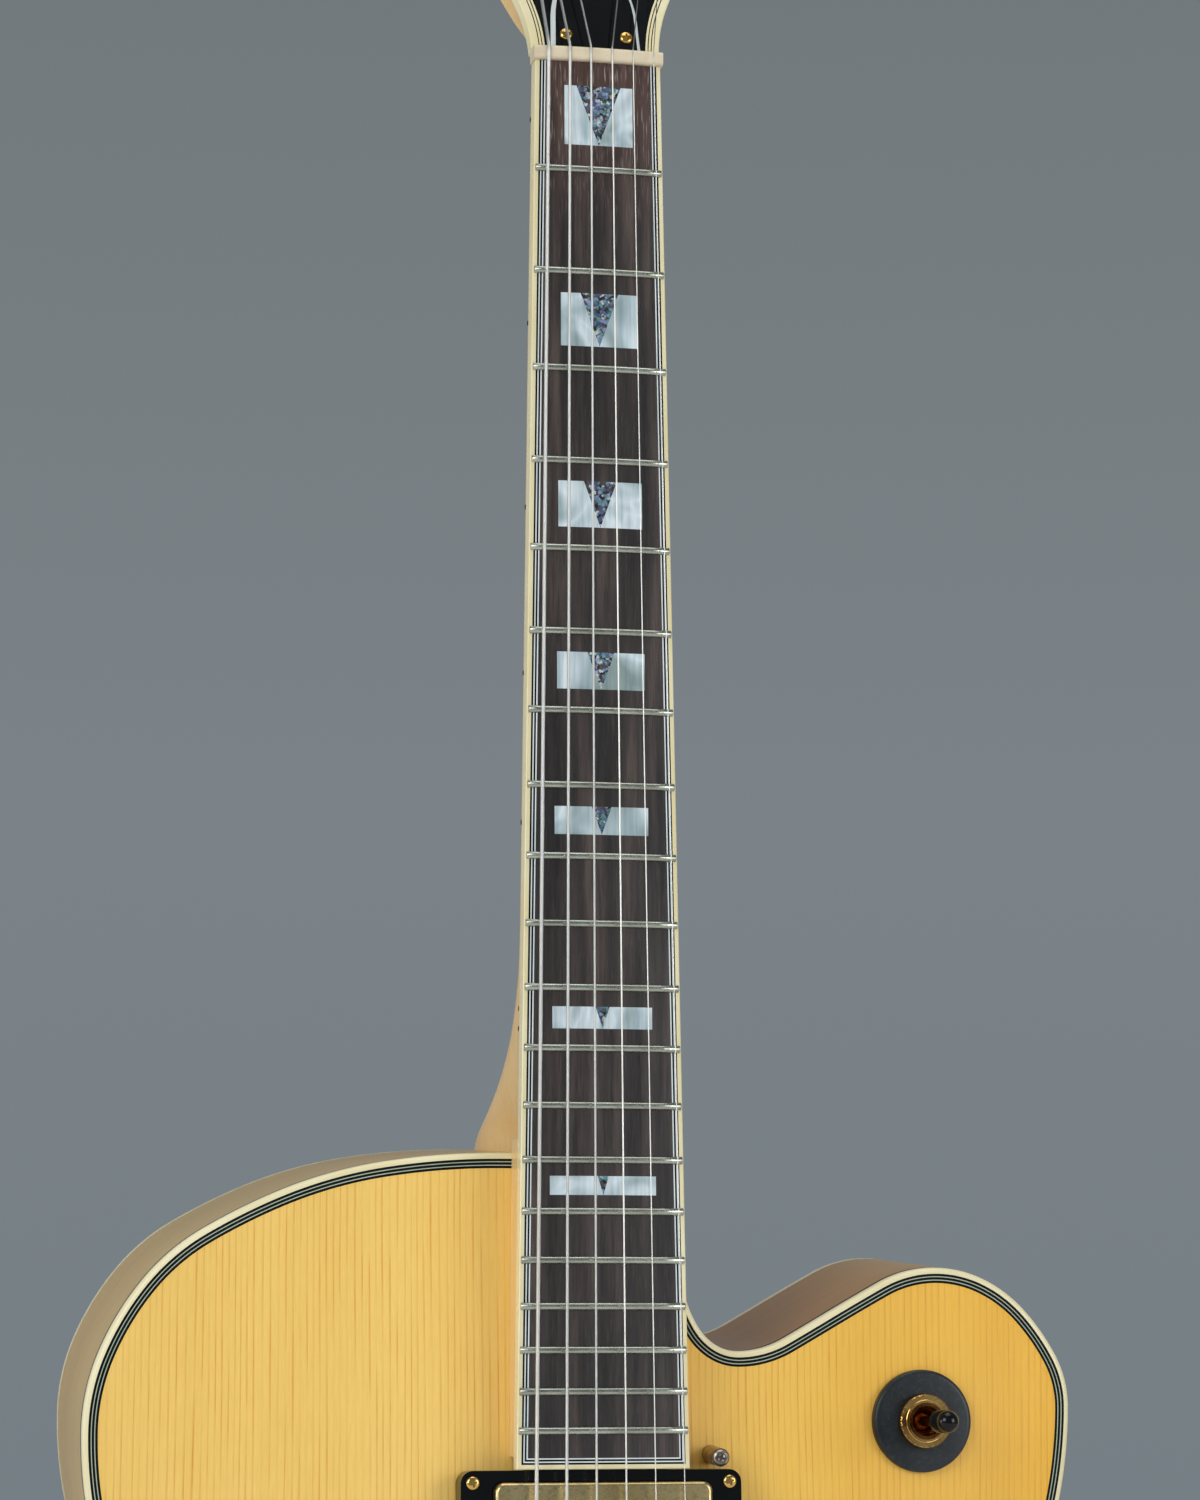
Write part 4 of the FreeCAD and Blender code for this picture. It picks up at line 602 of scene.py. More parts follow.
# Top purfling: three black plies with two pale ones between them, let into a ledge of the top
# inside the cream binding and levelled with it. The spruce meets the innermost ply.
PURFLING_DEPTH, LEDGE, BLACK_WIDE, PALE_WIDE = 0.0016, 0.0057, 0.00080, 0.00030
WOOD_LAP, WOOD_SINK = 0.0006, 0.00006
purfling_back = RIM_FRONT + PURFLING_DEPTH
inset = BINDING
for number in range(1, 6):
    width, ply = (BLACK_WIDE, black_ply) if number % 2 else (PALE_WIDE, pale_ply)
    end = inset + width
    section = [(inset, RIM_FRONT), (end, RIM_FRONT), (end, purfling_back), (inset, purfling_back)]
    fixed(band("top_ply_%d" % number, body_edge, section, ply, True), "edge_plies", "top_purfling")
    inset = end
end = LEDGE + WOOD_LAP
section = [(inset, RIM_FRONT), (end, RIM_FRONT + WOOD_SINK), (end, purfling_back), (inset, purfling_back)]
fixed(band("top_edge_wood", body_edge, section, spruce, True), "spruce", "top_plate")

# Neck: maple, carved in one piece with the headstock and the swept heel, with a flat extension
# that carries the fingerboard over the top. A steel truss rod lies under the board.
PITCH, HEAD_PITCH = math.radians(4), math.radians(14)


def on_neck(x, depth, up):
    return (
        x,
        depth * math.cos(PITCH) + up * math.sin(PITCH),
        up * math.cos(PITCH) - depth * math.sin(PITCH),
    )


neck_maple = maple_finish(
    "neck_maple", shade(243, 207, 141), shade(233, 194, 127),
    across=(420, 420), along=14.0, shift=31.0, gloss=0.34,
)
smoothed("carved_neck", "neck", neck_maple)


def metal_finish(name, low, high, size, rough, worn=None):
    """A plated or bare metal: a slow drift of its colour, smudged gloss, and worn patches if any."""
    material, tree, shader = finish(name, Metallic=1.0)
    wear = using(tree, surface_wear, Size=size, Shift=rough * 7)
    colour = cloudy(wear, low, high)
    if worn:
        colour = mixed_colour(mapped(wear["Scuff"], 0.52, 0.66), colour, worn)
    feed(shader, colour)
    feed(shader, mapped(wear["Scuff"], 0.3, 0.7, rough - 0.05, rough + 0.1), "Roughness")
    relief(shader, wear["Speck"], 0.02, 0.0001)
    return material


steel = metal_finish("plain_steel", shade(176, 174, 170), shade(212, 210, 204), size=50.0, rough=0.28)
smoothed("steel_truss_rod", "truss_rod", steel)

# Fingerboard: a cambered slab of dark rosewood with open pores, glued to the neck.
# Pearl blocks, each split by an abalone wedge, are let into it flush.
BOARD_LENGTH, BOARD_NUT, BOARD_END = 0.4556, 0.0420, 0.0555
BOARD_THICK, CROWN = 0.0064, 0.305
SCALE = 0.6477
FLAT_ANGLE = 20


def board_half(distance):
    return (BOARD_NUT + (BOARD_END - BOARD_NUT) * distance / BOARD_LENGTH) / 2


def camber(x):
    return CROWN - math.sqrt(CROWN**2 - x**2)


rosewood, tree, shader = finish("oiled_rosewood", Roughness=0.5)
grain = using(tree, wood_grain, Across_X=420.0, Across_Y=300.0, Along=8.0, Shift=2.0)
broad = using(tree, wood_grain, Across_X=190.0, Across_Y=150.0, Along=4.0, Shift=17.0)
bands = ramp(
    broad["Lines"],
    (0.34, shade(32, 26, 25)),
    (0.48, shade(52, 44, 42)),
    (0.66, shade(84, 72, 66)),
)
bands = times(bands, ramp(grain["Lines"], (0.36, (0.55, 0.53, 0.53, 1)), (0.58, grey(1))))
spot = place_on(tree)
down = parts(spot)["Z"]
# Painted sheen: further down the board the colour is greyed towards a flat grey, standing in for the lamps'
# reflection on the board.
SHEEN_START, SHEEN_END, SHEEN_SHARE = -0.12, -0.44, 0.3
NEAR_NUT_START, NEAR_NUT_END, FLECKS_BELOW = -0.055, -0.005, 0.07
painted_sheen = mapped(down, SHEEN_START, SHEEN_END, 0.0, SHEEN_SHARE)
bands = mixed_colour(painted_sheen, bands, shade(58, 55, 55))
# Near the nut the bands are mixed towards a redder brown and the pale flecks show fully; elsewhere only a
# trace of the flecks is left.
near_nut = mapped(down, NEAR_NUT_START, NEAR_NUT_END)
bands = mixed_colour(near_nut, bands, mixed_colour(0.6, bands, shade(92, 62, 52)))
pores = ramp(grain["Fibre"], (0.36, (0.5, 0.46, 0.45, 1)), (0.52, grey(1)))
fleck = noise(vector_maths("MULTIPLY", spot, (2600.0, 400.0, 130.0)), 1.0, 1.0)
fleck = ramp(fleck, (0.60, grey(0)), (0.70, grey(0.9)))
fleck = times(fleck, mapped(near_nut, 0.0, 1.0, FLECKS_BELOW, 1.0))
feed(shader, mixed_colour(fleck, times(bands, pores, 0.7), shade(150, 138, 130)))
relief(shader, grain["Fibre"], 0.18, 0.0003)
smoothed("rosewood_board", "fingerboard", rosewood, FLAT_ANGLE)

pearl, tree, shader = finish("white_pearl", Roughness=0.22, Coat_Weight=0.5, Coat_Roughness=0.08)
sheen = ramp(
    noise(place_on(tree), 46.0, 2.0, Distortion=0.8),
    (0.32, shade(140, 158, 156)),
    (0.44, shade(180, 198, 202)),
    (0.56, shade(222, 234, 238)),
    (0.68, shade(186, 204, 208)),
)
grain = using(tree, wood_grain, Across_X=900.0, Across_Y=200.0, Along=60.0, Shift=13.0)
streak = ramp(grain["Lines"], (0.34, (0.78, 0.84, 0.87, 1)), (0.60, grey(1)))
feed(shader, times(sheen, streak))
smoothed("pearl_blocks", "pearl_inlays", pearl, FLAT_ANGLE)

abalone, tree, shader = finish("abalone_shell", Roughness=0.2, Coat_Weight=0.5, Coat_Roughness=0.08)
spot = place_on(tree)
FLAKE_BEND = 0.0022
drift = node(tree, "ShaderNodeTexNoise", {"Vector": spot, "Scale": 700.0, "Detail": 3.0}).outputs["Color"]
bent = vector_maths("ADD", spot, vector_maths("MULTIPLY", drift, (FLAKE_BEND,) * 3))
flake = node(tree, "ShaderNodeTexVoronoi", {"Vector": bent, "Scale": 960.0, "Randomness": 1.0}).outputs
fire = ramp(
    node(tree, "ShaderNodeSeparateColor", {"Color": flake["Color"]}).outputs["Red"],
    (0.05, shade(44, 40, 42)),
    (0.26, shade(92, 82, 74)),
    (0.44, shade(84, 92, 140)),
    (0.62, shade(92, 150, 150)),
    (0.80, shade(140, 150, 196)),
    (0.95, shade(196, 212, 206)),
)
veins = ramp(flake["Distance"], (0.3, grey(1)), (0.8, (0.55, 0.53, 0.52, 1)))
feed(shader, times(fire, veins))
smoothed("abalone_wedges", "abalone_inlays", abalone, FLAT_ANGLE)

# Fingerboard edges: a cream binding along both sides and round the end, with two black and two
# white plies inside it, all scraped level with the camber.
white_ply = plastic_finish("white_ply", shade(206, 216, 216), shade(228, 236, 236), size=40.0, rough=0.3)
SIDE_STEPS, END_STEPS = 40, 22


def board_walk(inset):
    """The way down one edge of the board, across its end and back up the other edge."""
    end = BOARD_LENGTH - inset
    low, high = board_half(0) - inset, board_half(BOARD_LENGTH) - inset
    down = [(-(low + (high - low) * t), -end * t) for t in np.linspace(0, 1, SIDE_STEPS)]
    across = [(high * t, -end) for t in np.linspace(-1, 1, END_STEPS)[1:-1]]
    return down + across + [(-x, z) for x, z in reversed(down)]


def board_strip(name, outer, inner, material, edge_round=0.0):
    """A ply of the board's edge between two insets, its corner eased if it is the outer one."""
    walks = [board_walk(inset) for inset in (outer, outer + edge_round, inner)]
    rows = [
        (
            on_neck(ax, BOARD_THICK, az),
            on_neck(ax, camber(ax) + edge_round, az),
            on_neck(bx, camber(bx), bz),
            on_neck(cx, camber(cx), cz),
            on_neck(cx, BOARD_THICK, cz),
        )
        for (ax, az), (bx, bz), (cx, cz) in zip(*walks)
    ]
    return swept(name, rows, material, angle=None, merge=1e-6)


BOARD_BINDING, BOARD_EASE = 0.00145, 0.0003
board_binding = board_strip("board_binding", 0, BOARD_BINDING, cream, BOARD_EASE)
fixed(board_binding, "cream", "fingerboard_binding")
start = BOARD_BINDING
for number, (ply, width) in enumerate(((black_ply, 0.0006), (white_ply, 0.0004)) * 2):
    piece = board_strip("board_ply_%d" % (number + 1), start, start + width, ply)
    fixed(piece, "edge_plies", "fingerboard_purfling")
    start += width


# Frets: twenty lengths of nickel wire with a round bead, pressed into slots over the binding,
# each a little shorter than the board is wide there, with filed ends.
def shape_tree(name, **sizes):
    """A geometry tree whose named inputs are listed by kind; a material comes last."""
    tree = bpy.data.node_groups.new(name, "GeometryNodeTree")
    kinds = {"Geometry": ("Geometry",), **sizes, "Material": ("Material",)}
    for kind, labels in kinds.items():
        for label in labels:
            tree.interface.new_socket(label, in_out="INPUT", socket_type="NodeSocket" + kind)
    tree.interface.new_socket("Geometry", in_out="OUTPUT", socket_type="NodeSocketGeometry")
    return tree, tree.nodes.new("NodeGroupInput").outputs


def shape_done(shape, inside):
    """The end of a geometry tree: its instances made real and its material set."""
    tree = shape.id_data
    shape = step(tree, "GeometryNodeRealizeInstances", {"Geometry": shape})
    values = {"Geometry": shape, "Material": inside["Material"]}
    node(tree, "NodeGroupOutput", {"Geometry": step(tree, "GeometryNodeSetMaterial", values)})


def chosen(test, yes, no):
    values = {"Switch": test, "False": no, "True": yes}
    return step(test.id_data, "GeometryNodeSwitch", values, input_type="FLOAT")


def at_place(shape, place):
    return step(shape.id_data, "GeometryNodeSetPosition", {"Geometry": shape, "Position": place})


def marked(shape, name, value):
    """The shape with a value stored on its points."""
    values = {"Geometry": shape, "Name": name, "Value": value}
    settings = {"data_type": "FLOAT", "domain": "POINT"}
    return step(shape.id_data, "GeometryNodeStoreNamedAttribute", values, **settings)


def mark(tree, name, kind="FLOAT"):
    return step(tree, "GeometryNodeInputNamedAttribute", {"Name": name}, data_type=kind)


def own_place(tree):
    return step(tree, "GeometryNodeInputPosition")


def repeated(points, shape, **values):
    """The shape instanced on points."""
    values = {"Points": points, "Instance": shape, **values}
    return step(shape.id_data, "GeometryNodeInstanceOnPoints", values)


fret_tree, inside = shape_tree(
    "fret_wire",
    Int=("Count",),
    Float=(
        "Scale Length",
        "Nut Half Width",
        "End Half Width",
        "Board Length",
        "Edge Gap",
        "Crown Radius",
        "Bead Width",
        "Bead Height",
        "Seat Depth",
        "Neck Pitch",
    ),
)
tree = fret_tree
number = maths("ADD", step(tree, "GeometryNodeInputIndex"), 1.0)
left = maths("POWER", 2.0, maths("DIVIDE", number, -12.0))
distance = maths("MULTIPLY", inside["Scale Length"], maths("SUBTRACT", 1.0, left))
widening = maths("SUBTRACT", inside["End Half Width"], inside["Nut Half Width"])
widening = maths("MULTIPLY", widening, maths("DIVIDE", distance, inside["Board Length"]))
reach = maths("SUBTRACT", maths("ADD", inside["Nut Half Width"], widening), inside["Edge Gap"])
stations = step(tree, "GeometryNodeMeshLine", {"Count": inside["Count"], "Offset": (0, 0, 0)})
stations = at_place(stations, vector(tree, z=maths("MULTIPLY", distance, -1.0)))
WIRE_COLUMNS, WIRE_ROWS, BEAD_COLUMN, BEVEL_COLUMN = 13, 21, 4.5, 5.5
BEVEL_FULLNESS, BEVEL_START = 0.88, 0.994
sizes = {"Size X": 2.0, "Size Y": 1.0, "Vertices X": WIRE_COLUMNS, "Vertices Y": WIRE_ROWS}
strip = step(tree, "GeometryNodeMeshGrid", sizes)
at = parts(own_place(tree))
column = maths("MULTIPLY", maths("ABSOLUTE", at["X"]), (WIRE_COLUMNS - 1) / 2)
in_bead = maths("LESS_THAN", column, BEAD_COLUMN)
in_bevel = maths("LESS_THAN", column, BEVEL_COLUMN)
fullness = chosen(in_bead, 1.0, chosen(in_bevel, BEVEL_FULLNESS, 0.0))
across = chosen(in_bead, maths("MULTIPLY", column, BEVEL_START / 4), 1.0)
across = maths("MULTIPLY", across, maths("SIGN", at["X"]))
turn = maths("MULTIPLY", maths("ADD", at["Y"], 0.5), math.tau)
strip = marked(marked(strip, "fullness", fullness), "turn", turn)
strip = at_place(strip, vector(tree, across))
wires = repeated(stations, strip, Scale=vector(tree, reach, 1.0, 1.0))
wires = step(tree, "GeometryNodeRealizeInstances", {"Geometry": wires})
at = parts(own_place(tree))
full = mark(tree, "fullness")
angle = mark(tree, "turn")
rise = maths("SINE", angle)
seat = maths("MULTIPLY", rise, inside["Seat Depth"])
crest = maths("MULTIPLY", rise, inside["Bead Height"])
rise = maths("MULTIPLY", chosen(maths("GREATER_THAN", rise, 0.0), crest, seat), full)
side = maths("MULTIPLY", maths("COSINE", angle), inside["Bead Width"])
side = maths("MULTIPLY", maths("MULTIPLY", side, 0.5), full)
square = maths("MULTIPLY", inside["Crown Radius"], inside["Crown Radius"])
square = maths("SUBTRACT", square, maths("MULTIPLY", at["X"], at["X"]))
drop = maths("SUBTRACT", inside["Crown Radius"], maths("SQRT", square))
laid = vector(tree, at["X"], maths("SUBTRACT", drop, rise), maths("ADD", at["Z"], side))
wires = at_place(wires, laid)
wires = step(tree, "GeometryNodeMergeByDistance", {"Geometry": wires, "Distance": 1e-6})
tilt = vector(tree, inside["Neck Pitch"])
wires = step(tree, "GeometryNodeTransform", {"Geometry": wires, "Rotation": tilt})
shape_done(step(tree, "GeometryNodeSetShadeSmooth", {"Geometry": wires}), inside)


def grown(name, tree, base, **values):
    """What the tree makes of a base, as one plain mesh with its faces turned outwards."""
    maker = placed(name + "_maker", base)
    shaping = maker.modifiers.new("shape", "NODES")
    shaping.node_group = tree
    for item in tree.interface.items_tree:
        label = item.name.replace(" ", "_")
        if item.in_out == "INPUT" and label in values:
            shaping[item.identifier] = values[label]
    graph = bpy.context.evaluated_depsgraph_get()
    mesh = bpy.data.meshes.new_from_object(maker.evaluated_get(graph))
    bpy.data.objects.remove(maker)
    return placed(name, skinned(mesh))


nickel = metal_finish("fret_nickel", shade(166, 169, 156), shade(196, 199, 186), size=60.0, rough=0.26)
frets = grown(
    "fret_wires",
    fret_tree,
    bpy.data.meshes.new("fret_base"),
    Count=20,
    Scale_Length=SCALE,
    Nut_Half_Width=BOARD_NUT / 2,
    End_Half_Width=BOARD_END / 2,
    Board_Length=BOARD_LENGTH,
    Edge_Gap=0.0005,
    Crown_Radius=CROWN,
    Bead_Width=0.0024,
    Bead_Height=0.0011,
    Seat_Depth=0.0004,
    Neck_Pitch=-PITCH,
    Material=nickel,
)
fixed(frets, "fret_nickel", "frets")


# Side dots: short black pins set in the bass flank of the neck just under the binding, one beside
# each inlay and two at the octave.
def aimed(facing, axis):
    return step(facing.id_data, "FunctionNodeAlignRotationToVector", {"Vector": facing}, axis=axis)


pin_tree, inside = shape_tree("flush_pins", Float=("Radius", "Length"), Vector=("Facing",))
sizes = {"Vertices": 16, "Radius": inside["Radius"], "Depth": inside["Length"]}
pin = step(pin_tree, "GeometryNodeMeshCylinder", sizes)
shape_done(repeated(inside["Geometry"], pin, Rotation=aimed(inside["Facing"], "Z")), inside)


def fret_distance(number):
    return SCALE * (1 - 2 ** (-number / 12))


def points_mesh(name, places):
    mesh = bpy.data.meshes.new(name)
    mesh.from_pydata(places, [], [])
    return mesh


DOT_DEPTH, DOT_SINK, FLANK_SHARE = 0.0082, 0.0008, 0.995
dot_places = []
for fret in (1, 3, 5, 7, 9, 12, 15):
    for share in (0.33, 0.66) if fret == 12 else (0.5,):
        distance = fret_distance(fret - 1) + share * (fret_distance(fret) - fret_distance(fret - 1))
        flank = -board_half(distance) * FLANK_SHARE + DOT_SINK
        dot_places.append(on_neck(flank, DOT_DEPTH, -distance))
dot_base = points_mesh("dot_places", dot_places)
dots = grown(
    "side_dots", pin_tree, dot_base, Radius=0.0008, Length=0.0018, Facing=(-1, 0, 0), Material=black_ply
)
fixed(dots, "edge_plies")

# Headstock: a black gloss veneer over the maple, edged with a broad cream binding and thin
# black and cream plies. A bevelled black cover with a white core hides the truss-rod nut.
HEAD_DROP, NUT_THICK = 0.0044, 0.0048
HEAD_HALF, HEAD_LENGTH, HEAD_EDGE, HEAD_EASE = 0.0400, 0.1900, 0.0050, 0.0004


def on_head(x, depth, up):
    y = depth * math.cos(HEAD_PITCH) + up * math.sin(HEAD_PITCH) + HEAD_DROP
    z = up * math.cos(HEAD_PITCH) - depth * math.sin(HEAD_PITCH) + NUT_THICK
    return on_neck(x, y, z)


def mirrored(shares, half, length):
    right = [(x * half, z * length, turn) for x, z, turn in shares]
    return right + [(-x, z, -turn) for x, z, turn in reversed(right[:-1])]


head_shares = (
    (0.537, 0.0, 88),
    (0.635, 0.1016, 69),
    (0.90, 0.24, 69),
    (0.97, 0.38, 84),
    (1.0, 0.9, 90),
    (0.86, 0.975, 165),
    (0.0, 1.0, 180),
)
HEAD_SPACING, COVER_SPACING = 0.002, 0.001
head_edge = edge_walk(mirrored(head_shares, HEAD_HALF, HEAD_LENGTH), HEAD_SPACING)
inset = 0.0
for number, (width, ply) in enumerate(
    ((0.0025, cream), (0.00035, black_ply), (0.0007, cream), (0.00035, black_ply), (0.0007, cream))
):
    section = [(inset, 0), (inset + width, 0), (inset + width, HEAD_EDGE), (inset, HEAD_EDGE)]
    if number == 0:
        section[0:1] = [(0, HEAD_EASE), (HEAD_EASE, 0)]
    piece = band("head_ply_%d" % number, head_edge, section, ply, False, on_head)
    fixed(piece, "cream" if number == 0 else "edge_plies", "headstock_binding")
    inset += width
black_gloss = plastic_finish(
    "black_gloss", shade(7, 7, 8), shade(11, 11, 12), size=14.0, rough=0.13, bumpy=0.01
)
smoothed("head_veneer", "headstock_overlay", black_gloss)

COVER_GAP, COVER_HALF, COVER_LENGTH, COVER_THICK = 0.0004, 0.0151, 0.0500, 0.0020
BEVEL_FOOT, BEVEL_WIDE, CORE_WIDE, FACE_INSET, FACE_PROUD = 0.0006, 0.0012, 0.0014, 0.0013, 0.00001
cover_shares = ((1.0, 0.0, 93), (0.82, 0.45, 110), (0.62, 0.8, 90), (0.0, 1.0, 180))
cover_edge = edge_walk(mirrored(cover_shares, COVER_HALF, COVER_LENGTH), COVER_SPACING)


def on_cover(x, depth, up):
    return on_head(x, depth, up + COVER_GAP)


bevel = [
    (0, 0),
    (0, -BEVEL_FOOT),
    (BEVEL_WIDE, -COVER_THICK),
    (CORE_WIDE, -COVER_THICK),
    (CORE_WIDE, 0),
]
fixed(band("cover_core", cover_edge, bevel, white_ply, False, on_cover), "cream", "truss_rod_cover")
ring = [point + normal * FACE_INSET for point, normal in zip(*cover_edge)]
rings = [[on_cover(x, depth, z) for x, z in ring] for depth in (-COVER_THICK - FACE_PROUD, 0)]
cover_face = swept("cover_face", rings, black_gloss, angle=None)
fixed(cover_face, "black_plastic", "truss_rod_cover")

# Screws: small gold pan-head screws with a cross recess, three in the truss-rod cover and six in
# each pickup ring; the pickups' pole screws have one slot.
screw_tree, inside = shape_tree(
    "screw_heads",
    Float=("Head Radius", "Head Height", "Recess Arm", "Recess Width", "Recess Depth", "Cross Arm"),
    Int=("Seed",),
)
tree = screw_tree
DOME_POWER, SCREW_ANGLE = 0.62, 30
dome = step(tree, "GeometryNodeMeshUVSphere", {"Segments": 28, "Rings": 14, "Radius": 1.0})
at = parts(own_place(tree))
flat = maths("POWER", maths("ABSOLUTE", at["Z"]), DOME_POWER)
flat = maths("MULTIPLY", flat, maths("SIGN", at["Z"]))
swelled = vector(
    tree,
    maths("MULTIPLY", at["X"], inside["Head Radius"]),
    maths("MULTIPLY", at["Y"], inside["Head Radius"]),
    maths("MULTIPLY", flat, inside["Head Height"]),
)
head = at_place(dome, swelled)
deep = maths("MULTIPLY", inside["Recess Depth"], 2.0)
lift = vector(tree, z=inside["Head Height"])
for long, short in (("Recess Arm", "Recess Width"), ("Recess Width", "Cross Arm")):
    arm = step(tree, "GeometryNodeMeshCube", {"Size": vector(tree, inside[long], inside[short], deep)})
    arm = step(tree, "GeometryNodeTransform", {"Geometry": arm, "Translation": lift})
    pair = {"Mesh 1": head, "Mesh 2": arm}
    head = step(tree, "GeometryNodeMeshBoolean", pair, operation="DIFFERENCE", solver="EXACT")
way = aimed(mark(tree, "facing", "FLOAT_VECTOR"), "Z")
heads = repeated(inside["Geometry"], head, Rotation=way)
limits = {2: 0.0, 3: math.pi, "Seed": inside["Seed"]}
spin = node(tree, "FunctionNodeRandomValue", limits, data_type="FLOAT").outputs[1]
values = {"Instances": heads, "Rotation": vector(tree, z=spin), "Local Space": True}
shape_done(step(tree, "GeometryNodeRotateInstances", values), inside)


def screws(name, base_name, places, **sizes):
    """Screw heads at places that each carry the way their head faces."""
    base = points_mesh(base_name, [place for place, _ in places])
    facing = base.attributes.new("facing", "FLOAT_VECTOR", "POINT")
    for item, (_, way) in zip(facing.data, places):
        item.vector = way
    piece = grown(name, screw_tree, base, **sizes)
    skinned(piece.data, SCREW_ANGLE)
    return piece


gold = metal_finish("gold_plate", shade(226, 180, 98), shade(244, 208, 130), size=50.0, rough=0.18)
head_front = Vector(on_head(0, -1, 0)) - Vector(on_head(0, 0, 0))
neck_front = Vector(on_neck(0, -1, 0))
RING_LENGTH, RING_WIDTH, RING_FACE = 0.0900, 0.0455, 0.0040
CORNER_INSET, MIDDLE_INSET, SCREW_PROUD = 0.0038, 0.0046, 0.0001
pickup_places = (0.47865, 0.6040)
screw_places = [
    (Vector(on_cover(x, -COVER_THICK - SCREW_PROUD, z)), head_front)
    for x, z in ((-0.0101, 0.0046), (0.0101, 0.0046), (0, 0.0454))
]
ring_screws = [
    (x * (RING_LENGTH / 2 - CORNER_INSET), z * (RING_WIDTH / 2 - CORNER_INSET))
    for x, z in ((-1, -1), (-1, 1), (1, -1), (1, 1))
] + [(x * (RING_LENGTH / 2 - MIDDLE_INSET), 0) for x in (-1, 1)]
for middle in pickup_places:
    for x, z in ring_screws:
        screw_places.append((Vector(on_neck(x, RING_FACE, z - middle)), neck_front))
gold_screws = screws(
    "gold_screws",
    "screw_places",
    screw_places,
    Head_Radius=0.00215,
    Head_Height=0.0011,
    Recess_Arm=0.0026,
    Recess_Width=0.0007,
    Recess_Depth=0.0008,
    Cross_Arm=0.0026,
    Seed=5,
    Material=gold,
)
fixed(gold_screws, "gold", "screws")

# Tuners: gold die-cast housings behind the head, each with a bushing in front, a worm-driven post
# that takes the string, and an oval key on its shaft.
smoothed("tuner_gear_cases", "tuner_housings", gold)
for number in range(1, 7):
    smoothed("string_post_%d" % number, "tuner_post_%d" % number, gold)
    smoothed("turning_key_%d" % number, "tuner_key_%d" % number, gold)

# Nut: a bone bar glued across the end of the board, rounded at its corners and slotted for the
# six strings.
bone, tree, shader = finish("pale_bone", Coat_Weight=0.1, Roughness=0.38)
wear = using(tree, surface_wear, Size=140.0, Shift=4.0)
fleck = ramp(wear["Scuff"], (0.32, (0.90, 0.87, 0.82, 1)), (0.48, grey(1)))
feed(shader, times(cloudy(wear, shade(208, 194, 164), shade(220, 207, 178)), fleck))
relief(shader, wear["Scuff"], 0.05, 0.0002)
smoothed("bone_nut", "nut", bone)

# Strings: three wound and three plain steel strings, from the tailpiece over the saddle and the nut
# to the posts, where each takes a few turns.
string_tree, inside = shape_tree("drawn_string", Float=("Radius",), Int=("Sides",))
tree = string_tree
along = node(tree, "GeometryNodeSplineParameter").outputs["Length"]


def drawn_out(line, radius, sides):
    """A round wire along a curve."""
    sizes = {"Resolution": sides, "Radius": radius}
    circle = step(line.id_data, "GeometryNodeCurvePrimitiveCircle", sizes)
    values = {"Curve": line, "Profile Curve": circle, "Fill Caps": True}
    return step(line.id_data, "GeometryNodeCurveToMesh", values)


line = marked(inside["Geometry"], "along", along)
shape_done(drawn_out(line, inside["Radius"], inside["Sides"]), inside)


HEAD_SHADE_START, HEAD_SHADE_END = 0.002, 0.008


def string_finish(name, low, high, turns):
    """String steel, painted darker above the nut as shade; a wound one has its wrap as fine ridges along
    its length.
    """
    material, tree, shader = finish(name, Metallic=1.0, Roughness=0.36)
    wear = using(tree, surface_wear, Size=30.0, Shift=turns * 0.01)
    # Painted shade: above the nut the strings are darkened to about a third of their colour.
    above_nut = mapped(parts(place_on(tree))["Z"], HEAD_SHADE_START, HEAD_SHADE_END)
    head_shade = ramp(above_nut, (0.0, grey(1)), (1.0, (0.33, 0.34, 0.35, 1)))
    feed(shader, times(cloudy(wear, low, high), head_shade))
    if turns:
        along = node(tree, "ShaderNodeAttribute", attribute_name="along").outputs["Fac"]
        relief(shader, maths("SINE", maths("MULTIPLY", along, turns * math.tau)), 0.35, 0.0002)
    else:
        relief(shader, wear["Speck"], 0.03, 0.0001)
    return material


wound_steel = string_finish("wound_string", shade(236, 236, 232), shade(248, 248, 244), 2600.0)
plain_steel = string_finish("plain_string", shade(232, 230, 222), shade(246, 244, 238), 0.0)
STRING_RADII = (0.00062, 0.00050, 0.00038, 0.00028, 0.00019, 0.00014)
NUT_SPREAD, NUT_MIDDLE, NUT_RISE = 0.0352, 0.0007, 0.0017
SADDLE_SPREAD, SADDLE_MIDDLE, SADDLE_RISE = 0.0524, 0.0015, 0.0050
COMPENSATION = 0.0020
SADDLE_DISTANCE = SCALE + COMPENSATION
HINGE = Vector((0, -0.018555, -0.8878))
CROSSBAR_REACH, CROSSBAR_WIDTH = 0.1220, 0.0130
WIRE_ANGLE = 50
saddle_crest = Vector(on_neck(0, -SADDLE_RISE, -SADDLE_DISTANCE))
tail_line = (saddle_crest - HINGE).normalized()
crossbar = HINGE + tail_line * CROSSBAR_REACH


def drawn(name, points, radius, material, count):
    """One string length as a plain mesh, divided evenly along its length."""
    data = bpy.data.curves.new(name, "CURVE")
    data.dimensions = "3D"
    spline = data.splines.new("POLY")
    start, end = map(Vector, points)
    line = [start.lerp(end, t) for t in np.linspace(0, 1, count, endpoint=False)] + [end]
    spline.points.add(len(line) - 1)
    for item, place in zip(spline.points, line):
        item.co = (*place, 1)
    return grown(name, string_tree, data, Radius=radius, Sides=14, Material=material)


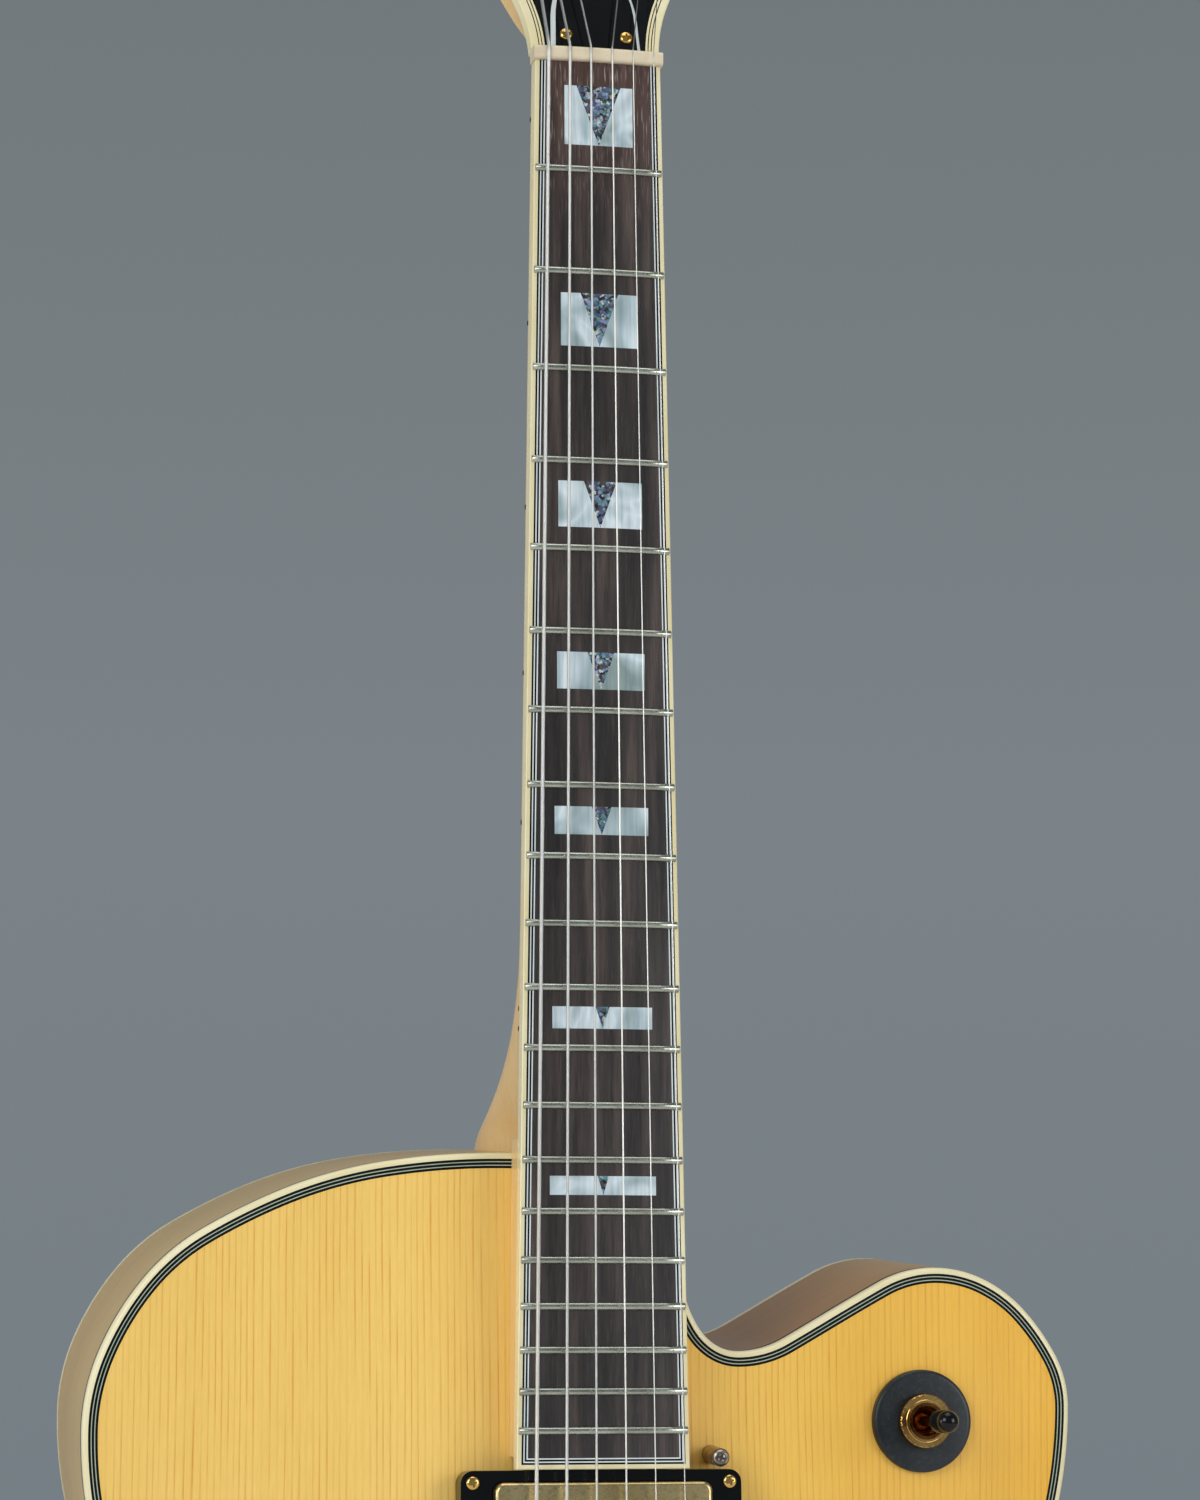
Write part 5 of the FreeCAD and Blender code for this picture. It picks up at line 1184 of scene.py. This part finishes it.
def joined(name, pieces):
    """Several like meshes as one piece, smooth round each string."""
    mesh = bpy.data.meshes.new(name)
    skin = bmesh.new()
    materials = []
    for piece in pieces:
        first = len(skin.faces)
        material = piece.data.materials[0]
        if material not in materials:
            materials.append(material)
            mesh.materials.append(material)
        skin.from_mesh(piece.data)
        skin.faces.ensure_lookup_table()
        for face in skin.faces[first:]:
            face.material_index = materials.index(material)
        bpy.data.objects.remove(piece)
    skin.to_mesh(mesh)
    skin.free()
    return placed(name, skinned(mesh, WIRE_ANGLE, outward=False))


def eased(before, corner, after, bend=0.012):
    """Where a string that bends round an edge passes inside its corner."""
    arriving = (Vector(corner) - Vector(before)).normalized()
    leaving = (Vector(after) - Vector(corner)).normalized()
    inside = bend / math.cos(arriving.angle(leaving) / 2) - bend
    return Vector(corner) + (leaving - arriving).normalized() * inside


POST_SPREAD, POST_FIRST, POST_STEP = 0.0540, 0.0570, 0.0390
POST_WAIST, WINDING_DEPTH, WINDING_GAP = 0.0025, -0.0115, 0.00008
WINDING_PITCH, FEWEST_TURNS, MORE_TURNS = 2.1, 2.5, 0.4
HEAD_STEPS, SPEAKING_STEPS, TAIL_STEPS = 4, 40, 12


def post_spot(index):
    """The side of the head and the height of a string's post."""
    if index < 3:
        return -1, POST_FIRST + POST_STEP * index
    return 1, POST_FIRST + POST_STEP * (5 - index)


head_runs, speaking, after, tail_places = [], [], [], []
for index, radius in enumerate(STRING_RADII):
    material = wound_steel if index < 3 else plain_steel
    share = index / 5 - 0.5
    nut_x = NUT_MIDDLE + NUT_SPREAD * share
    saddle_x = SADDLE_MIDDLE + SADDLE_SPREAD * share
    side, height = post_spot(index)
    post = on_head(side * (POST_SPREAD / 2 - POST_WAIST - radius - WINDING_GAP), WINDING_DEPTH, height)
    nut_corner = on_neck(nut_x, camber(nut_x) - NUT_RISE - radius, NUT_THICK)
    saddle_corner = on_neck(saddle_x, camber(saddle_x) - SADDLE_RISE - radius, -SADDLE_DISTANCE)
    tail_place = Vector((saddle_x, crossbar.y, crossbar.z)) - tail_line * (CROSSBAR_WIDTH / 2)
    saddle_place = eased(tail_place, saddle_corner, nut_corner)
    nut_place = eased(saddle_corner, nut_corner, post)
    head_runs.append(drawn("head_run_%d" % index, (nut_place, post), radius, material, HEAD_STEPS))
    ends = (saddle_place, nut_place)
    speaking.append(drawn("speaking_%d" % index, ends, radius, material, SPEAKING_STEPS))
    ends = (tail_place, saddle_place)
    after.append(drawn("after_%d" % index, ends, radius, material, TAIL_STEPS))
    tail_places.append(tail_place)
nut_middle = on_neck(0, 0, NUT_THICK)
saddle_middle = on_neck(0, 0, -SADDLE_DISTANCE)
fixed(joined("strings_at_head", head_runs), "string_steel", "strings")
for name, lengths, start, end in (
    ("strings_speaking", speaking, nut_middle, saddle_middle),
    ("strings_behind_saddle", after, HINGE, saddle_crest),
):
    piece = joined(name, lengths)
    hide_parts("strings")
    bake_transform(piece)


def set_up(shape, inside):
    """The shape turned and carried to where its piece belongs."""
    values = {"Geometry": shape, "Translation": inside["Place"], "Rotation": inside["Tilt"]}
    return step(shape.id_data, "GeometryNodeTransform", values)


coil_tree, inside = shape_tree(
    "post_winding",
    Float=("Turns", "Coil Radius", "String Radius", "Height"),
    Vector=("Place", "Tilt"),
)
sizes = {
    "Resolution": 28,
    "Rotations": inside["Turns"],
    "Start Radius": inside["Coil Radius"],
    "End Radius": inside["Coil Radius"],
    "Height": inside["Height"],
}
coil = step(coil_tree, "GeometryNodeCurveSpiral", sizes)
shape_done(set_up(drawn_out(coil, inside["String Radius"], sides=10), inside), inside)
for index, radius in enumerate(STRING_RADII):
    side, height = post_spot(index)
    turns = FEWEST_TURNS + MORE_TURNS * index
    wound = turns * WINDING_PITCH * radius
    coil = grown(
        "post_winding_%d" % (index + 1),
        coil_tree,
        bpy.data.meshes.new("coil_base"),
        Turns=turns,
        Coil_Radius=POST_WAIST + radius + WINDING_GAP,
        String_Radius=radius,
        Height=wound,
        Place=on_head(side * POST_SPREAD / 2, WINDING_DEPTH + wound, height),
        Tilt=(math.radians(90) - PITCH - HEAD_PITCH, 0, 0),
        Material=plain_steel,
    )
    skinned(coil.data, WIRE_ANGLE)
    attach(coil, "tuner_post_%d" % (index + 1))

# Pickups: two coils under a gold-plated cover, worn cloudy where a hand rests, hung on screws in a
# black plastic ring that is fitted to the arch.
ring_black = plastic_finish(
    "ring_black", shade(5, 7, 8), shade(9, 11, 12), size=30.0, rough=0.14, bumpy=0.015, mirror=0.26
)
smoothed("pickup_surrounds", "pickup_rings", ring_black)
worn_gold = metal_finish(
    "worn_gold", shade(196, 172, 118), shade(222, 200, 146),
    size=45.0, rough=0.27, worn=shade(166, 151, 116),
)
smoothed("plated_covers", "pickup_covers", worn_gold)
smoothed("pickup_coils", "pickup_cores", ring_black)
POLE_SPREAD, POLE_OFFSET, POLE_FACE = 0.0490, 0.0093, -0.0006
pole_places = []
for middle, side in zip(pickup_places, (1, -1)):
    for i in range(6):
        spot = on_neck(POLE_SPREAD * (i / 5 - 0.5), POLE_FACE, -middle + side * POLE_OFFSET)
        pole_places.append((Vector(spot), neck_front))
poles = screws(
    "pole_screws",
    "pole_places",
    pole_places,
    Head_Radius=0.0024,
    Head_Height=0.0008,
    Recess_Arm=0.0052,
    Recess_Width=0.0009,
    Recess_Depth=0.0007,
    Cross_Arm=0.0005,
    Seed=9,
    Material=gold,
)
fixed(poles, "gold", "pickup_pole_screws")

# Pickguard standoff: a short turned metal post screwed to the top beside the end of the board.
# Its steel screw is still in it, but the guitar is shown without its guard.
post_metal = metal_finish("standoff_metal", shade(104, 94, 88), shade(170, 146, 126), size=220.0, rough=0.2)
post = smoothed("guard_post", "pickguard_standoff", post_metal)
POST_X, POST_Z, HEAD_RISE = 0.0387, -0.4516, 0.0012
post_top = min(v.co.y for v in post.data.vertices) + HEAD_RISE
post_screw = screws(
    "guard_post_screw",
    "post_screw_place",
    [(Vector((POST_X, post_top, POST_Z)), Vector((0, -1, 0)))],
    Head_Radius=0.0026,
    Head_Height=0.0013,
    Recess_Arm=0.0030,
    Recess_Width=0.0008,
    Recess_Depth=0.0009,
    Cross_Arm=0.0030,
    Seed=3,
    Material=steel,
)
fixed(post_screw, "steel", "pickguard_standoff")

# Bridge: an ebony foot fitted to the arch, two gold thumbwheels on studs, and an ebony saddle
# that they raise.
ebony, tree, shader = finish("polished_ebony", Roughness=0.34)
grain = using(tree, wood_grain, Across_X=30.0, Across_Y=500.0, Along=500.0, Shift=5.0)
feed(shader, ramp(grain["Lines"], (0.35, shade(24, 21, 20)), (0.66, shade(48, 41, 37))))
relief(shader, grain["Fibre"], 0.1, 0.0002)
smoothed("bridge_foot", "bridge_base", ebony)
smoothed("saddle_bar", "bridge_saddle", ebony)
smoothed("bridge_posts", "bridge_studs", gold)
smoothed("thumbwheel_low", "bridge_thumbwheel_bass", gold, FLAT_ANGLE)
smoothed("thumbwheel_high", "bridge_thumbwheel_treble", gold, FLAT_ANGLE)

# Tailpiece: a gold trapeze hinged on a bracket at the tail; the ball ends of the strings sit
# behind its crossbar.
smoothed("trapeze", "tailpiece", gold)
smoothed("tail_bracket", "tailpiece_bracket", gold)
brass = metal_finish("ball_brass", shade(196, 150, 78), shade(222, 182, 104), size=160.0, rough=0.3)
BALL_LENGTH, BALL_RADIUS, BALL_WAIST, BALL_BORE = 0.0030, 0.0019, 0.0016, 0.0007
BALL_EASE, BALL_GAP, TURNED_ANGLE = 0.0002, 0.0001, 35
ball_profile = [
    (0.0, BALL_BORE),
    (0.0, BALL_RADIUS - BALL_EASE),
    (BALL_EASE, BALL_RADIUS),
    (0.0009, BALL_RADIUS),
    (0.0013, BALL_WAIST),
    (0.0017, BALL_WAIST),
    (0.0021, BALL_RADIUS),
    (BALL_LENGTH - BALL_EASE, BALL_RADIUS),
    (BALL_LENGTH, BALL_RADIUS - BALL_EASE),
    (BALL_LENGTH, BALL_BORE),
]


def turned(name, profile, places, axis, steps, material):
    """A profile, as rise along the axis and reach from it, turned round the axis at each place."""
    across = (Vector((1, 0, 0)) - axis * axis.x).normalized()
    upward = axis.cross(across)
    corners, faces = [], []
    for place in places:
        faces += quads(len(corners), steps, len(profile), True)
        for i in range(steps):
            turn = math.tau * i / steps
            out = across * math.cos(turn) + upward * math.sin(turn)
            corners += [place + axis * rise + out * reach for rise, reach in profile]
    mesh = bpy.data.meshes.new(name)
    mesh.from_pydata(corners, [], faces)
    mesh.materials.append(material)
    return placed(name, skinned(mesh, TURNED_ANGLE))


ball_places = [place - tail_line * BALL_GAP for place in tail_places]
balls = turned("ball_ends", ball_profile, ball_places, -tail_line, steps=20, material=brass)
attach(balls, "tailpiece")
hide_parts("strings")


# Controls: four moulded black knobs, a volume and a tone for each pickup, pushed on to the shafts
# of potentiometers that are bolted through the top from below. A white pin marks each knob's turn.
def front_of(mesh, forward=-0.9):
    """The way a round piece faces: the mean of its forward faces."""
    fronts = [face for face in mesh.polygons if face.normal.y < forward]
    return fronts, sum((face.normal * face.area for face in fronts), Vector()).normalized()


knob_black = plastic_finish("knob_black", shade(15, 15, 16), shade(25, 25, 26), size=40.0, rough=0.22)
MARK_REACH, MARK_RADIUS, MARK_LENGTH, MARK_PROUD = 0.0064, 0.0009, 0.0010, 0.00004
for knob in ("neck_volume", "bridge_volume", "neck_tone", "bridge_tone"):
    cap = smoothed("control_" + knob, "knob_" + knob, knob_black).data
    axis = front_of(cap)[1]
    rise = max(v.co.dot(axis) for v in cap.vertices)
    top = [v.co for v in cap.vertices if v.co.dot(axis) > rise - MARK_PROUD]
    upward = (Vector((0, 0, 1)) - axis * axis.z).normalized()
    place = sum(top, Vector()) / len(top) + upward * MARK_REACH + axis * (MARK_PROUD - MARK_LENGTH / 2)
    turn_mark = grown(
        "knob_mark_" + knob,
        pin_tree,
        points_mesh("knob_mark_place", [place]),
        Radius=MARK_RADIUS,
        Length=MARK_LENGTH,
        Facing=axis,
        Material=white_ply,
    )
    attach(turn_mark, "knob_" + knob)
smoothed("pot_cases", "potentiometers", gold)

# Selector switch: a gold bushing and knurled nut over a round-edged slate plastic washer, and a
# gold lever with a black tip, fixed through the horn of the top.
slate, tree, shader = finish("slate_washer", Coat_Weight=0.05, Specular_IOR_Level=0.4, Roughness=0.4)
wear = using(tree, surface_wear, Size=90.0, Shift=1.3)
dust = ramp(wear["Scuff"], (0.5, grey(0)), (0.8, grey(0.35)))
feed(shader, mixed_colour(dust, cloudy(wear, shade(20, 25, 28), shade(32, 39, 43)), shade(84, 92, 96)))
relief(shader, wear["Scuff"], 0.06, 0.0002)
# Painted shade: the switch's gold is a darker, browner copy of the gold plate, for the shade among its
# close rings and lever.
switch_gold = metal_finish("switch_gold", shade(204, 158, 90), shade(234, 190, 116), size=120.0, rough=0.14)
case = smoothed("switch_case", "switch_body", switch_gold, FLAT_ANGLE)
ring_mesh = frame["nodes"]["switch_washer"].data
fronts, facing = front_of(ring_mesh)
corners = [ring_mesh.vertices[corner].co for face in fronts for corner in face.vertices]
middle = sum(corners, Vector()) / len(corners)
# Painted shade: the faces inside the bushing's bore take a dark brown metal, standing in for the shade down
# the bore.
BORE_RADIUS = 0.0056
bore_bronze = metal_finish("bore_bronze", shade(84, 52, 24), shade(124, 80, 38), size=160.0, rough=0.22)
case.data.materials.append(bore_bronze)
for face in case.data.polygons:
    reach = face.center - middle
    reach -= facing * reach.dot(facing)
    face.material_index = int(reach.length < BORE_RADIUS)
WASHER_RADIUS, WASHER_FOOT = 0.0164, -0.0031
RIM_RADIUS, RIM_RISE, BUSHING_RADIUS = 0.0084, 0.0037, 0.0060
washer_profile = [
    (WASHER_FOOT, BUSHING_RADIUS),
    (WASHER_FOOT, WASHER_RADIUS),
    (-0.0013, WASHER_RADIUS),
    (-0.0008, WASHER_RADIUS - 0.0001),
    (-0.0004, WASHER_RADIUS - 0.0004),
    (-0.0001, WASHER_RADIUS - 0.0009),
    (0, WASHER_RADIUS - 0.0016),
    (0, BUSHING_RADIUS),
]
washer = turned("switch_ring", washer_profile, [middle], facing, steps=96, material=slate)
fixed(washer, "slate_plastic", "switch_washer")
nut_profile = [
    (0.0002, BUSHING_RADIUS),
    (0.0002, RIM_RADIUS + 0.00005),
    (RIM_RISE - 0.0009, RIM_RADIUS + 0.00005),
    (RIM_RISE - 0.0004, RIM_RADIUS - 0.0004),
    (RIM_RISE - 0.0004, RIM_RADIUS - 0.0008),
    (RIM_RISE - 0.0011, RIM_RADIUS - 0.0010),
    (RIM_RISE - 0.0011, RIM_RADIUS - 0.0012),
    (RIM_RISE - 0.0002, RIM_RADIUS - 0.0014),
    (RIM_RISE, RIM_RADIUS - 0.0017),
    (RIM_RISE - 0.0002, RIM_RADIUS - 0.0020),
    (RIM_RISE - 0.0012, BUSHING_RADIUS),
]
switch_nut = turned("switch_nut", nut_profile, [middle], facing, steps=72, material=switch_gold)
fixed(switch_nut, "gold", "switch_body")

knurl_tree, inside = shape_tree(
    "knurled_rim", Int=("Count",), Float=("Rim Radius", "Ridge", "Length"), Vector=("Place", "Tilt")
)
tree = knurl_tree
rim = {"Vertices": inside["Count"], "Radius": inside["Rim Radius"]}
stations = step(tree, "GeometryNodeMeshCircle", rim)
sizes = {"Vertices": 3, "Radius": inside["Ridge"], "Depth": inside["Length"]}
ridge = step(tree, "GeometryNodeMeshCylinder", sizes)
ridges = repeated(stations, ridge, Rotation=aimed(own_place(tree), "X"))
ridges = step(tree, "GeometryNodeRealizeInstances", {"Geometry": ridges})
shape_done(set_up(ridges, inside), inside)
KNURL_FOOT = 0.0002
knurl = grown(
    "switch_nut_knurl",
    knurl_tree,
    bpy.data.meshes.new("knurl_base"),
    Count=60,
    Rim_Radius=RIM_RADIUS,
    Ridge=0.0004,
    Length=RIM_RISE - 0.0010,
    Place=middle + facing * (RIM_RISE / 2 - KNURL_FOOT),
    Tilt=facing.to_track_quat("Z", "Y").to_euler(),
    Material=switch_gold,
)
fixed(knurl, "gold", "switch_body")
tip_black = plastic_finish(
    "tip_black", shade(7, 7, 8), shade(11, 11, 12), size=60.0, rough=0.1, bumpy=0.01, mirror=0.3
)
lever = smoothed("toggle_lever", "switch_lever", switch_gold)
lever.data.materials.append(tip_black)
TIP_LENGTH = 0.0111
tip_top = min(v.co.y for v in lever.data.vertices)
for face in lever.data.polygons:
    face.material_index = int(face.center.y < tip_top + TIP_LENGTH)

# Jack and strap buttons: a gold jack collar in the treble flank, and gold buttons at the tail and
# on the heel.
smoothed("jack_collar", "output_jack", gold)
smoothed("strap_pins", "strap_buttons", gold)

sizes = {
    "cad": [list(map(float, corner)) for corner in cad_box],
    "visual": [list(map(float, corner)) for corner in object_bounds()],
}
